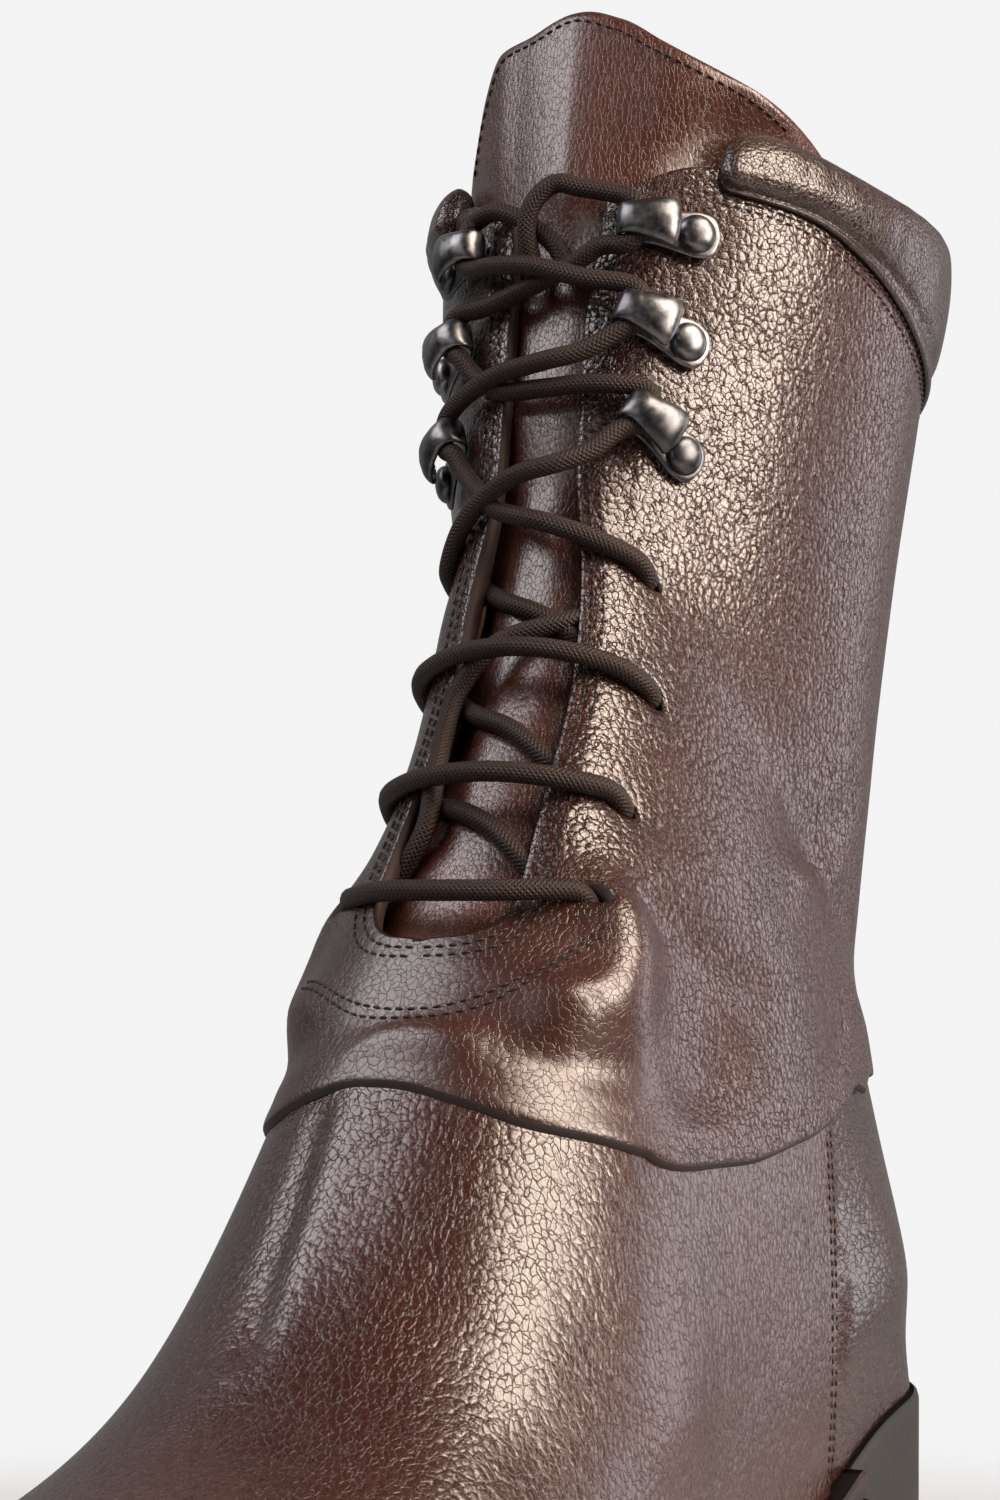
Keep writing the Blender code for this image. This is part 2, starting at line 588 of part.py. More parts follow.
def make_hook(name, q, a, steel):
    """Speed hook: a plate with a domed rivet, curled up at the throat and back over as a broad flap."""
    place, side, up, out = frame_at(q, a, SHAFT_STEP + GAP + .5)
    bend = skin(q, a*.8, SHAFT_STEP) + skin(q, a*1.2, SHAFT_STEP) - 2*skin(q, a, SHAFT_STEP)
    span = np.linalg.norm(skin(q, a*1.2, SHAFT_STEP) - skin(q, a*.8, SHAFT_STEP))/2
    curve = np.linalg.norm(bend)/span**2
    # way to the throat, height of the sheet's middle, half width
    path = [(-9.0, .5, 2.2), (-8.0, .5, 3.4), (-5.2, .5, 4.0), (-2.0, .5, 3.6), (2.0, .5, 2.8),
            (5.5, .5, 2.6)]
    for turn in np.radians((-50, -10, 30, 70)):
        path.append((5.8 + 3.1*np.cos(turn), 3.6 + 3.1*np.sin(turn), 2.8))
    path += [(4.5, 6.9, 3.4), (2.2, 6.8, 4.0), (.2, 6.3, 4.2), (-1.0, 5.6, 4.2)]
    path = np.array(path)
    slope = np.gradient(path[:, :2], axis=0)
    slope /= np.linalg.norm(slope, axis=1, keepdims=True)
    normal = np.column_stack([-slope[:, 1], slope[:, 0]])*.5

    def to_world(way, height, width):
        lift = height - curve*np.minimum(way, 6)**2/2
        return place + way*side + width*up + lift*out

    rings = []
    for (way, height, half), (shift, rise) in zip(path, normal):
        under = (way - shift, height - rise)
        over = (way + shift, height + rise)
        rings.append([to_world(*under, -half), to_world(*under, half), to_world(*over, half),
                      to_world(*over, -half)])
    hook = make_object(name, *prism(rings), steel)
    turn = np.arange(12)*2*np.pi/12
    dome = [(3.4, .5), (3.4, 1.5), (2.9, 2.4), (1.6, 3.0)]
    rings = [[to_world(-5.2 + radius*np.cos(t), height, radius*np.sin(t)) for t in turn]
             for radius, height in dome]
    rivet = make_object("rivet", *prism(rings), steel)
    return join_with(hook, rivet, "UNION")


def tube(points, radius, sides=6):
    """Round tube along points (mm), with flat ends; rings keep one turn along the path."""
    points = np.asarray(points, float)
    slope = np.gradient(points, axis=0)
    slope /= np.linalg.norm(slope, axis=1, keepdims=True)
    turn = np.arange(sides)*2*np.pi/sides
    first = np.cross(slope[0], (0.0, 0.0, 1.0))
    rings = []
    for point, along in zip(points, slope):
        first = first - along*np.dot(first, along)
        first = first/np.linalg.norm(first)
        second = np.cross(along, first)
        rings.append(point + radius*(np.cos(turn)[:, None]*first + np.sin(turn)[:, None]*second))
    return prism(rings)


LACE_OFF = SHAFT_STEP + LACE_RADIUS + GAP + .3


def lace_run(start, end, rise=0.0, lift=0.0, count=11):
    """Lace over the throat between two (q, a) places; rise moves its middle up, lift moves it off."""
    t = np.linspace(0, 1, count)
    arch = np.sin(np.pi*t)
    q = start[0] + (end[0] - start[0])*t + rise*arch
    a = start[1] + (end[1] - start[1])*t
    return skin(q, a, LACE_OFF + lift*arch)


def make_laces(cord):
    """Bars between the eyelets, joined crossings between the hooks, and the half knot."""
    bar_rise = (-12.0, 0.0, -2.0)
    bars = zip(EYELETS, bar_rise)
    for number, ((q, a), rise) in enumerate(bars, 1):
        run = lace_run((q, -a), (q, a), rise, .6)
        make_object(f"lace_bar_{number}", *tube(run, LACE_RADIUS), cord)
    ends = [EYELETS[-1]] + [(q - 2.0, a - .085) for q, a in HOOKS]
    starts = [EYELETS[-1]] + [(q + 5.0, a - .085) for q, a in HOOKS]
    for number in range(1, len(ends)):
        low, high = starts[number - 1], ends[number]
        under = tube(lace_run(low, (high[0], -high[1]), 0, .5), LACE_RADIUS)
        over = tube(lace_run((low[0], -low[1]), high, 0, 2.2), LACE_RADIUS)
        cross = make_object(f"lace_cross_{number}", *under, cord)
        join_with(cross, make_object("strand", *over, cord), "UNION")
    q, a = starts[-1]
    left = np.concatenate([lace_run((q, -a), (KNOT_Q, .012), 3, 1.0, 7),
                           skin(np.array([384.0, 378.0]), np.array([.03, .03]), np.array([5.0, 4.6]))])
    right = np.concatenate([lace_run((q, a), (KNOT_Q + 3, -.006), 3, 3.5, 7),
                            skin(np.array([386.0, 380.0]), np.array([-.025, -.025]), np.array([7.2, 5.0]))])
    knot = make_object("lace_knot", *tube(left, LACE_RADIUS), cord)
    join_with(knot, make_object("strand", *tube(right, LACE_RADIUS), cord), "UNION")


def main():
    """Builds every piece of the boot."""
    for thing in list(bpy.data.objects):
        bpy.data.objects.remove(thing)
    upper_leather = make_material("brown leather", (.075, .035, .028), .45)
    tongue_leather = make_material("red brown leather", (.085, .035, .026), .5)
    roll_leather = make_material("dark brown leather", (.05, .028, .024), .45)
    stay_leather = make_material("dark leather strip", (.035, .022, .02), .55)
    midsole_leather = make_material("dark edge leather", (.02, .014, .012), .6)
    heel_cover = make_material("dark heel cover", (.018, .013, .012), .6)
    rubber = make_material("black rubber", (.012, .012, .012), .7)
    lining = make_material("tan lining", (.2, .12, .07), .8)
    steel = make_material("gunmetal", (.22, .21, .2), .3, 1.0)
    cord = make_material("dark brown cord", (.04, .027, .023), .6)
    make_upper(upper_leather)
    make_tongue(tongue_leather)
    make_collar_roll(roll_leather)
    make_back_stay(stay_leather)
    make_pull_tab(roll_leather)
    make_midsole(midsole_leather)
    make_outsole(rubber)
    make_heel_block(heel_cover)
    make_heel_lift(rubber)
    make_insole(lining)
    for number, (q, a) in enumerate(HOOKS, 1):
        make_hook(f"hook_lateral_{number}", q, a, steel)
        make_hook(f"hook_medial_{number}", q, -a, steel)
    make_laces(cord)


main()
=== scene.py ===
"""Looks of the lug sole boot: leather, stitches, laces, hooks and sole as surfaces worked out with numpy.

Places are in millimetres in the last's own frame (heel back at x = 0, toe along +X, the boot's outer
side along +Y, floor at z = 0) and become metres in the row frame when a mesh is made. q runs along the
last from the tip to the collar, a across it from the medial edge (-1) over the ridge (0) to the lateral
edge (1), and off is the distance outwards from the last.
"""

import math

import bpy
import numpy as np
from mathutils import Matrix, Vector


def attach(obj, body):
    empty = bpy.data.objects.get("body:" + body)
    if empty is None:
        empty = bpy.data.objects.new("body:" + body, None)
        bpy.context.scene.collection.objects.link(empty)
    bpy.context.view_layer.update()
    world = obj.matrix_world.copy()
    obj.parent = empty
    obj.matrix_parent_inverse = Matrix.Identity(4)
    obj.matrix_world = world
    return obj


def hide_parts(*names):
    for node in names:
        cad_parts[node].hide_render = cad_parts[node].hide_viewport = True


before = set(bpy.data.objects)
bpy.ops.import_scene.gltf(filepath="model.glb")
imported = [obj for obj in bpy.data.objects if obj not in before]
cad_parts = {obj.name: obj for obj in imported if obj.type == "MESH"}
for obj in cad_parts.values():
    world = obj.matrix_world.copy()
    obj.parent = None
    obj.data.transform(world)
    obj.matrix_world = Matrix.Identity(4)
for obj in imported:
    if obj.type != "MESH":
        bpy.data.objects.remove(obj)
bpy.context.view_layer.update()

# Sizes that the solids have too, mm
MM = 0.001
CENTRE = np.array([134.84, 0.77, 0.0])
WALL = 2.0
SHAFT_STEP = 1.5
SHAFT_INSIDE = 1.0
GAP = 0.3
EYELET_RADIUS = 2.6
LACE_RADIUS = 1.75
MIDSOLE = 5.0
SOLE_MARGIN = 4.0
HEEL_MARGIN = 1.0
LUG_DEPTH = 9.0
SOLE_AT_BALL = 15.0
SOLE_AT_BREAST = 8.5
BALL_X = 165.0
HEEL_BREAST_X = 66.0
HEEL_BACK_X = 3.0
HEEL_LIFT = 9.0
TONGUE_THICK = 2.2

# The last: a row for each section, as in the solids
SECTION_COLUMNS = ("bottom_x", "bottom_z", "top_x", "top_z", "lateral", "medial",
                   "widest", "base", "crown", "lower", "lean")
SECTIONS = (
    ("tip", 270, 35.0, 270, 54, 40, 35, .34, .98, 2.3, 2.0, 0),
    ("toe", 250, 30.2, 250, 58, 43, 37, .32, .98, 2.1, 2.0, 0),
    ("toe_box", 226, 26.2, 226, 65, 46, 39, .29, .98, 1.95, 2.0, 0),
    ("ball", 198, 23.8, 200, 83, 47, 39.5, .26, .97, 1.85, 2.0, 0.5),
    ("vamp", 165, 24.0, 180, 111, 45, 40, .24, .96, 1.95, 2.0, 2),
    ("instep", 125, 29.0, 165, 136, 41, 39.5, .25, .95, 2.25, 2.0, 3.5),
    ("waist", 85, 41.5, 153, 156, 37.5, 38.5, .28, .93, 2.35, 2.0, 4),
    ("heel_front", 45, 55.5, 142.5, 173, 36, 38, .32, .92, 2.35, 2.1, 4),
    ("heel", 18, 59.6, 134, 188, 34, 37, .37, .90, 2.3, 2.25, 3.5),
    ("heel_back", 3, 60.5, 129, 201, 31.5, 36.5, .41, .8, 2.25, 2.3, 3),
    ("counter", 0.5, 80, 126, 212, 28.5, 34.5, .44, .8, 2.2, 2.1, 3),
    ("ankle_low", 10, 103, 123.5, 222, 27.5, 33, .47, .8, 2.15, 2.0, 2.5),
    ("ankle", 15.5, 130, 121, 233, 29, 34.5, .49, .8, 2.15, 2.0, 2),
    ("shaft_low", 15, 163, 118.5, 245.5, 32.5, 37.5, .50, .8, 2.15, 2.1, 1.5),
    ("shaft_mid", 9.5, 205, 116, 258, 36.5, 40.5, .50, .8, 2.15, 2.1, 1),
    ("shaft_high", 3, 250, 113.5, 270, 41.7, 43, .50, .8, 2.15, 2.1, 1),
    ("collar", -2, 290, 111.5, 282, 44.5, 44.5, .50, .8, 2.15, 2.1, 1),
)
CORNER_COLUMNS = ("bottom_x", "bottom_z", "base")
TIP_X = 270.0
TOE_ROUND_X = 222.0
TOE_DROP_X = 236.0
TOE_DROP_POWER = 2.4
HEEL_CENTRE_X = 34.0
HEEL_RADIUS = 31.0
RIDGE_SHARE = 0.55

# Lines on the last
SHAFT_EDGE = ((0, 115), (.083, 115.8), (.169, 119.4), (.311, 139.5), (.456, 182.5), (.5, 205),
              (.55, 241), (.65, 260.5), (.8, 279), (1, 288))                   # a, q
BACK_EDGE_Q = SHAFT_EDGE[-1][1]
COLLAR_EDGE = ((0, 389), (.05, 391), (.1, 396), (.15, 398), (.25, 398), (.5, 396.5), (1, 396))
ROLL_LOWER_EDGE = ((.18, 391), (.255, 389.5), (.352, 388), (.455, 384.7), (.542, 382), (.6, 380),
                   (.7, 378.5), (1, 379))                                      # a, q
ROLL_RISE = ((.18, 6), (.25, 7.5), (.33, 6), (.42, 4), (.5, 3), (1, 2.6))      # a, mm above the collar edge
THROAT = ((147, 0), (147.5, .022), (149, .044), (152.5, .068), (157, .084), (164, .095), (212, .09),
          (245, .092), (290, .075), (345, .06), (400, .068))                   # q, half width in a
TONGUE_TOP = ((-.42, 403), (-.278, 411), (-.24, 418), (-.187, 440.5), (-.138, 457), (-.073, 462.5),
              (0, 469.5), (.056, 462), (.116, 449), (.173, 438), (.236, 427.5), (.302, 418),
              (.42, 405))                                                      # a, q
TONGUE_FOOT_Q = 132.0
TONGUE_FOOT_HALF = 0.13
TONGUE_TOP_HALF = 0.42
TONGUE_TUCK = 3.2
TONGUE_SINK = 2.4
EYELETS = ((173, .192), (205, .192), (236.5, .203), (264.7, .206))             # q, a
HOOKS = ((303, .215), (334, .188), (372, .163))                                # q, a of the middle


# Curves

def steady(table, q):
    """Curve through (knot, value) rows by cubic pieces whose slopes never make it swing past a row."""
    knots = np.array([row[0] for row in table], float)
    values = np.array([row[1] for row in table], float)
    step = np.diff(knots)
    rise = np.diff(values)/step
    tilt = np.concatenate([[rise[0]], np.zeros(len(rise) - 1), [rise[-1]]])
    same = rise[1:]*rise[:-1] > 0
    before = np.where(same, rise[:-1], 1.0)
    after = np.where(same, rise[1:], 1.0)
    first = 2*step[1:] + step[:-1]
    second = step[1:] + 2*step[:-1]
    tilt[1:-1] = np.where(same, (first + second)*before*after/(first*after + second*before), 0)
    inner = np.clip(q, knots[0], knots[-1])
    i = np.clip(np.searchsorted(knots, inner) - 1, 0, len(step) - 1)
    t = (inner - knots[i])/step[i]
    curve = (values[i]*(1 + 2*t)*(1 - t)**2 + values[i + 1]*t*t*(3 - 2*t)
             + step[i]*(tilt[i]*t*(1 - t)**2 - tilt[i + 1]*t*t*(1 - t)))
    return curve + tilt[-1]*np.maximum(q - knots[-1], 0)


def natural(table, q):
    """Natural cubic curve through (knot, value) rows; straight beyond the last."""
    knots = np.array([row[0] for row in table], float)
    values = np.array([row[1] for row in table], float)
    step = np.diff(knots)
    rise = np.diff(values)/step
    count = len(knots)
    system = np.eye(count)
    right = np.zeros(count)
    for i in range(1, count - 1):
        system[i, i - 1:i + 2] = step[i - 1], 2*(step[i - 1] + step[i]), step[i]
        right[i] = 6*(rise[i] - rise[i - 1])
    bend = np.linalg.solve(system, right)
    slope = rise - step*(2*bend[:-1] + bend[1:])/6
    i = np.clip(np.searchsorted(knots, q) - 1, 0, count - 2)
    t = np.minimum(q, knots[-1]) - knots[i]
    curve = values[i] + t*(slope[i] + t*(bend[i]/2 + t*(bend[i + 1] - bend[i])/(6*step[i])))
    end_slope = rise[-1] + step[-1]*bend[-2]/6
    return curve + end_slope*np.maximum(q - knots[-1], 0)


def ease(value, start, end):
    """Soft step 3t^2 - 2t^3 from 0 at start to 1 at end."""
    t = np.clip((np.asarray(value, float) - start)/(end - start), 0, 1)
    return t*t*(3 - 2*t)


def quarter_round(share):
    """Quarter circle: 0 and upright at share 0, level at 1 from share 1 on."""
    return np.sqrt(1 - (1 - np.clip(share, 0, 1))**2)


def squared(wave, power):
    """A sine or cosine with its size raised to a power and its sign kept, which squares a circle."""
    return np.sign(wave)*np.abs(wave)**power


def run_length(line):
    """Length of a polyline from its start to each of its points."""
    return np.concatenate([[0], np.cumsum(np.linalg.norm(np.diff(line, axis=0), axis=1))])


# The last

def section_knots():
    """q of each section: half the way along the bottom points and the top points together."""
    points = np.array([row[1:5] for row in SECTIONS], float)
    steps = np.diff(points, axis=0)
    length = np.hypot(steps[:, 0], steps[:, 1]) + np.hypot(steps[:, 2], steps[:, 3])
    return np.concatenate([[0.0], np.cumsum(length)])/2


KNOTS = section_knots()
HEEL_BACK = [row[0] for row in SECTIONS].index("heel_back")
HEEL_BACK_Q = KNOTS[HEEL_BACK]
COLUMN_TABLES = {name: [(knot, row[k + 1]) for knot, row in zip(KNOTS, SECTIONS)]
                 for k, name in enumerate(SECTION_COLUMNS)}


def column(name, q):
    """A section size at q; the bottom line turns a corner at the back of the heel."""
    rows = COLUMN_TABLES[name]
    if name not in CORNER_COLUMNS:
        return natural(rows, q)
    foot = steady(rows[:HEEL_BACK + 1], np.minimum(q, HEEL_BACK_Q))
    back = steady(rows[HEEL_BACK:], np.maximum(q, HEEL_BACK_Q))
    return np.where(q < HEEL_BACK_Q, foot, back)


def q_of_bottom(x):
    """q where the last's bottom line passes x."""
    q = np.linspace(0, HEEL_BACK_Q, 2000)
    return np.interp(-np.asarray(x, float), -column("bottom_x", q), q)


def skin(q, a, off=0.0):
    """Points of the last at q and a, grown outwards by off.

    Each section is two superellipse arcs on the line from its bottom to its top point: the crown from the
    ridge to the widest line, and the lower arc from there to the base. The toe and heel round it off.
    """
    q, a, off = np.broadcast_arrays(*(np.asarray(v, float) for v in (q, a, off)))
    size = {name: column(name, q) for name in SECTION_COLUMNS}
    bottom_x = size["bottom_x"]
    toe = np.clip((bottom_x - TOE_ROUND_X)/(TIP_X - TOE_ROUND_X), 0, 1)
    drop = np.clip((bottom_x - TOE_DROP_X)/(TIP_X - TOE_DROP_X), 0, 1)
    heel = np.clip((HEEL_CENTRE_X - bottom_x)/HEEL_RADIUS, 0, 1)
    open_below = q < HEEL_BACK_Q - 1e-6
    heel_share = np.where(open_below, np.sqrt(1 - heel**2), 0)
    height_share = (1 - drop**TOE_DROP_POWER)**(1/TOE_DROP_POWER)
    half = np.where(a > 0, size["lateral"], size["medial"])
    base = np.clip((half*size["base"] + off)/(half + off), 0, 1)*heel_share
    low = np.arccos(base**(size["lower"]/2))
    way = np.abs(a)
    up = way < RIDGE_SHARE
    turn = np.where(up, np.pi/2*(1 - way/RIDGE_SHARE), low*(way - RIDGE_SHARE)/(1 - RIDGE_SHARE))
    sine = np.abs(np.sin(turn))
    cosine = np.abs(np.cos(turn))
    sunk = (sine/np.maximum(np.sin(low), 1e-9))**(2/size["lower"])
    rise = np.where(up, size["widest"] + (1 - size["widest"])*sine**(2/size["crown"]),
                    size["widest"]*(1 - sunk))
    across = np.where(up, cosine**(2/size["crown"]), cosine**(2/size["lower"]))
    y = across*(half + off)*np.sqrt(1 - toe**2)*np.sign(a) + np.where(up, size["lean"]*sine, 0)
    foot_x = bottom_x - np.where(open_below, heel, 1)*off
    reach_x = size["top_x"] - foot_x
    reach_z = size["top_z"] - size["bottom_z"]
    grow = height_share*(1 + off/np.hypot(reach_x, reach_z))
    x = foot_x + rise*grow*reach_x
    z = size["bottom_z"] + rise*grow*reach_z
    stretch = np.where(open_below, np.maximum(x - TOE_ROUND_X, 0)/(TIP_X - TOE_ROUND_X), 0)
    return np.stack([x + stretch*off, y, z], -1)


def unit(vectors):
    """Vectors of length one along the last axis."""
    return vectors/np.maximum(np.linalg.norm(vectors, axis=-1, keepdims=True), 1e-12)


def frames_at(q, a, off):
    """Places on the last with the way to the throat, up the shaft and outwards, all as arrays."""
    q, a, off = np.broadcast_arrays(*(np.asarray(v, float) for v in (q, a, off)))
    sign = np.where(a < 0, -1.0, 1.0)
    side = unit(skin(q, a - sign*.01, off) - skin(q, a + sign*.01, off))
    up = skin(q + 1, a, off) - skin(q - 1, a, off)
    out = unit(np.cross(side, up)*-sign[..., None])
    up = np.cross(out, side)*-sign[..., None]
    return skin(q, a, off), side, up, out


def throat_shift(way, q):
    """The facing moves back from the ridge by the throat's half width, fading to the side."""
    half = np.where(q > THROAT[0][0], steady(THROAT, q), 0)
    return way + half*np.maximum(1 - way/RIDGE_SHARE, 0)**2


# Meshes

def grid_quads(rows, columns, closed=False):
    """Quads (n, 4) of a grid stored row by row; closed joins the last column to the first."""
    i = np.arange(rows - 1)[:, None]*columns
    j = np.arange(columns if closed else columns - 1)
    k = (j + 1) % columns
    return np.stack([i + j, i + k, i + k + columns, i + j + columns], -1).reshape(-1, 4)


def rim_of(quads):
    """Directed edges (u, v) that only one of the quads has."""
    edges = np.concatenate([np.stack([quads[:, k], quads[:, (k + 1) % 4]], -1) for k in range(4)])
    edges = edges[edges[:, 0] != edges[:, 1]]
    count = quads.max() + 1
    there = edges[:, 0]*count + edges[:, 1]
    back = edges[:, 1]*count + edges[:, 0]
    return edges[~np.isin(there, back)]


def wall(outer, inner, quads):
    """Closed wall: outer face, inner face turned round, and a rim quad along every free edge."""
    count = len(outer)
    rim = rim_of(quads)
    sides = np.stack([rim[:, 1], rim[:, 0], rim[:, 0] + count, rim[:, 1] + count], -1)
    return (np.concatenate([outer, inner]), np.concatenate([quads, quads[:, ::-1] + count, sides]),
            np.repeat([0, 1, 2], [len(quads), len(quads), len(sides)]))


def shared_points(points):
    """One point's index for each place, told apart to a thousandth of a mm, and the place of every point."""
    _, first, back = np.unique(np.round(points*1000).astype(np.int64), axis=0, return_index=True,
                               return_inverse=True)
    return first, back.reshape(-1)


def grid_wall(outer, inner, cut=None):
    """wall() of two grids of points, without the cells cut out; outer points that coincide count as one."""
    quads = grid_quads(*outer.shape[:2])
    if cut is not None:
        quads = quads[~cut.reshape(-1)]
    outer, inner = outer.reshape(-1, 3), inner.reshape(-1, 3)
    first, back = shared_points(outer)
    return wall(outer, inner, first[back][quads])


def tube_quads(count, sides):
    """Quads of closed rings one after another, with strips across the first and the last."""
    half = np.arange((sides - 1)//2)
    strip = np.stack([half, half + 1, sides - 2 - half, sides - 1 - half], -1)
    return np.concatenate([grid_quads(count, sides, closed=True), strip[:, ::-1], strip + (count - 1)*sides])


def capped(rings):
    """Points and quads of a grid of closed rings whose first and last are covered."""
    return rings.reshape(-1, 3), tube_quads(*rings.shape[:2])


def outward(points, quads):
    """Quads of a closed form, turned round where its volume (middles times areas, summed) is negative."""
    corner = points[quads]
    area = np.cross(corner[:, 2] - corner[:, 0], corner[:, 3] - corner[:, 1])
    return quads if (corner.mean(1)*area).sum() > 0 else quads[:, ::-1]


def joined(parts):
    """Points and quads of several closed forms as one."""
    start = np.cumsum([0] + [len(points) for points, _ in parts])
    return (np.concatenate([points for points, _ in parts]),
            np.concatenate([outward(points, quads) + k for (points, quads), k in zip(parts, start)]))


def new_mesh(name, points, quads):
    """Mesh in metres from points in mm, whose points that coincide are merged; faces left with no area go.

    Gives the mesh, the point kept for each place, the quads kept and the point at each of their corners.
    """
    first, back = shared_points(points)
    merged = back[quads]
    used = merged != np.roll(merged, 1, axis=1)
    crossed = (merged[:, 0] == merged[:, 2]) | (merged[:, 1] == merged[:, 3])
    kept = np.flatnonzero((used.sum(1) > 2) & ~crossed)
    corners = quads[kept][used[kept]]
    count = used[kept].sum(1)
    mesh = bpy.data.meshes.new(name)
    mesh.vertices.add(len(first))
    mesh.vertices.foreach_set("co", ((points[first] - CENTRE)*MM).astype(np.float32).reshape(-1))
    mesh.loops.add(len(corners))
    mesh.loops.foreach_set("vertex_index", back[corners].astype(np.int32))
    mesh.polygons.add(len(kept))
    mesh.polygons.foreach_set("loop_start", (np.cumsum(count) - count).astype(np.int32))
    mesh.update(calc_edges=True)
    return mesh, first, kept, corners


def piece(name, points, quads, materials, slot, nodes=(), kinds=None, values=None, uv=None):
    """A mesh object in the row frame, on the root body, from points in mm.

    kinds gives each face's material, values named numbers for each point and uv two numbers for each point.
    """
    points = np.asarray(points, float).reshape(-1, 3)
    mesh, first, kept, corners = new_mesh(name, points, outward(points, quads))
    for material in materials:
        mesh.materials.append(material)
    mesh.polygons.foreach_set("use_smooth", np.ones(len(kept), bool))
    if kinds is not None:
        mesh.polygons.foreach_set("material_index", np.asarray(kinds)[kept].astype(np.int32))
    for label, numbers in (values or {}).items():
        attribute = mesh.attributes.new(label, "FLOAT", "POINT")
        attribute.data.foreach_set("value", np.asarray(numbers, np.float32).reshape(-1)[first])
    if uv is not None:
        flat = np.asarray(uv, np.float32).reshape(-1, 2)[corners]
        mesh.uv_layers.new(name="UVMap").data.foreach_set("uv", flat.reshape(-1))
    mesh.update()
    thing = bpy.data.objects.new(name, mesh)
    bpy.context.scene.collection.objects.link(thing)
    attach(thing, "root")
    if nodes:
        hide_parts(*nodes)
    return thing


def smooth_line(points, step):
    """Centripetal Catmull-Rom curve through the points, read again at equal steps of its length."""
    points = np.asarray(points, float)
    points = np.concatenate([[2*points[0] - points[1]], points, [2*points[-1] - points[-2]]])
    knots = np.concatenate([[0], np.cumsum(np.sqrt(np.linalg.norm(np.diff(points, axis=0), axis=1)))])
    t = np.linspace(knots[1], knots[-2], 40*len(points))
    i = np.clip(np.searchsorted(knots, t, side="right") - 1, 1, len(points) - 3)
    k = [knots[i + n][:, None] for n in (-1, 0, 1, 2)]
    p = [points[i + n] for n in (-1, 0, 1, 2)]
    t = t[:, None]
    one = [((k[n + 1] - t)*p[n] + (t - k[n])*p[n + 1])/(k[n + 1] - k[n]) for n in (0, 1, 2)]
    two = [((k[n + 2] - t)*one[n] + (t - k[n])*one[n + 1])/(k[n + 2] - k[n]) for n in (0, 1)]
    line = ((k[2] - t)*two[0] + (t - k[1])*two[1])/(k[2] - k[1])
    return spaced(line, step)


def spaced(line, step):
    """The line again, with points at equal steps of about that length."""
    along = run_length(line)
    at = np.linspace(0, along[-1], max(2, int(round(along[-1]/step)) + 1))
    return np.stack([np.interp(at, along, line[:, k]) for k in range(3)], -1)


def near_line(points, line):
    """Distance of every point to a polyline: the least of those to its straight stretches."""
    best = np.full(points.shape[:-1], np.inf)
    for start, end in zip(line[:-1], line[1:]):
        way = end - start
        along = np.clip((points - start) @ way/(way @ way), 0, 1)
        best = np.minimum(best, np.linalg.norm(points - start - along[..., None]*way, axis=-1))
    return best


# Folds of the leather: height mm (negative for a trough), half width mm, then its line on the last as (q, a)
SHAFT_FOLDS = (
    (4.4, 6.5, ((178, .205), (175, .236), (169, .258), (160, .262), (150, .240), (143, .205), (139, .165))),
    (2.2, 14.0, ((176, .20), (167, .235), (156, .225), (149, .19))),
    (-3.8, 15.0, ((192, .37), (176, .385), (160, .38))),
    (-2.6, 6.0, ((152, .278), (144, .256), (137, .222), (133, .18), (131, .14))),
    (-2.4, 9.5, ((172, .11), (163, .13), (155, .125))),
    (1.3, 4.5, ((115, -.05), (121, -.009), (124, .044), (127, .12))),
    (-1.0, 3.5, ((128, -.10), (130, .0), (133, .10), (140, .17))),
    (-1.0, 5.0, ((180, .215), (186, .26), (193, .31), (202, .36), (212, .41))),
    (.7, 5.0, ((192, .21), (202, .267), (215, .324))),
    (-.7, 3.6, ((250, .411), (261, .467), (283, .573), (296, .636))),
    (-.6, 3.6, ((261, .438), (280, .540), (294, .607), (301, .638))),
    (1.2, 5.0, ((246, .43), (266, .52), (287, .62))),
    (-1.4, 12.0, ((232, .50), (244, .56), (256, .64), (266, .75))),
    (-1.2, 8.0, ((268, .50), (276, .60), (286, .75))),
    (-.8, 7.0, ((345, .30), (322, .31), (296, .33))),
)
VAMP_FOLDS = (
    (-1.3, 3.2, ((113, -.078), (99, -.064), (85, -.050), (68, -.004))),
    (.9, 6.0, ((111, -.031), (97, -.022), (83, -.007), (67, .02))),
    (-.7, 6.0, ((116, .36), (98, .37), (80, .36))),
    (-.6, 7.0, ((92, .12), (84, .2), (82, .3))),
    (.8, 8.0, ((140, .50), (128, .48), (118, .46))),
)
OTHER_SIDE = 0.7          # share of a lateral fold's height that the medial side has
RIVET_DENT = (-.7, 5.5)   # mm deep, mm wide, the leather pulled in round each hook's rivet
RIVET_BACK = 5.2          # mm from a hook's middle to its rivet


def fold_relief(points, folds, off):
    """Sum of the folds' heights at the points.

    A fold is a row of round bumps along a smooth line, each height * exp(-(distance/width)^2), spaced half a
    width apart and scaled so that they add up to the height in the middle and run out softly at both ends.
    """
    total = np.zeros(points.shape[:-1])
    for height, width, line in folds:
        q, a = np.array(line, float).T
        sides = ((1, 1.0), (-1, OTHER_SIDE)) if a.min() > .12 else ((1, 1.0),)
        for sign, share in sides:
            run = spaced(smooth_line(skin(q, sign*a, off), .5), width/2)
            step = np.linalg.norm(run[1] - run[0])
            bumps = sum(np.exp(-((points - place)**2).sum(-1)/width**2) for place in run)
            total += share*height*bumps*step/(width*math.sqrt(math.pi))
    return total


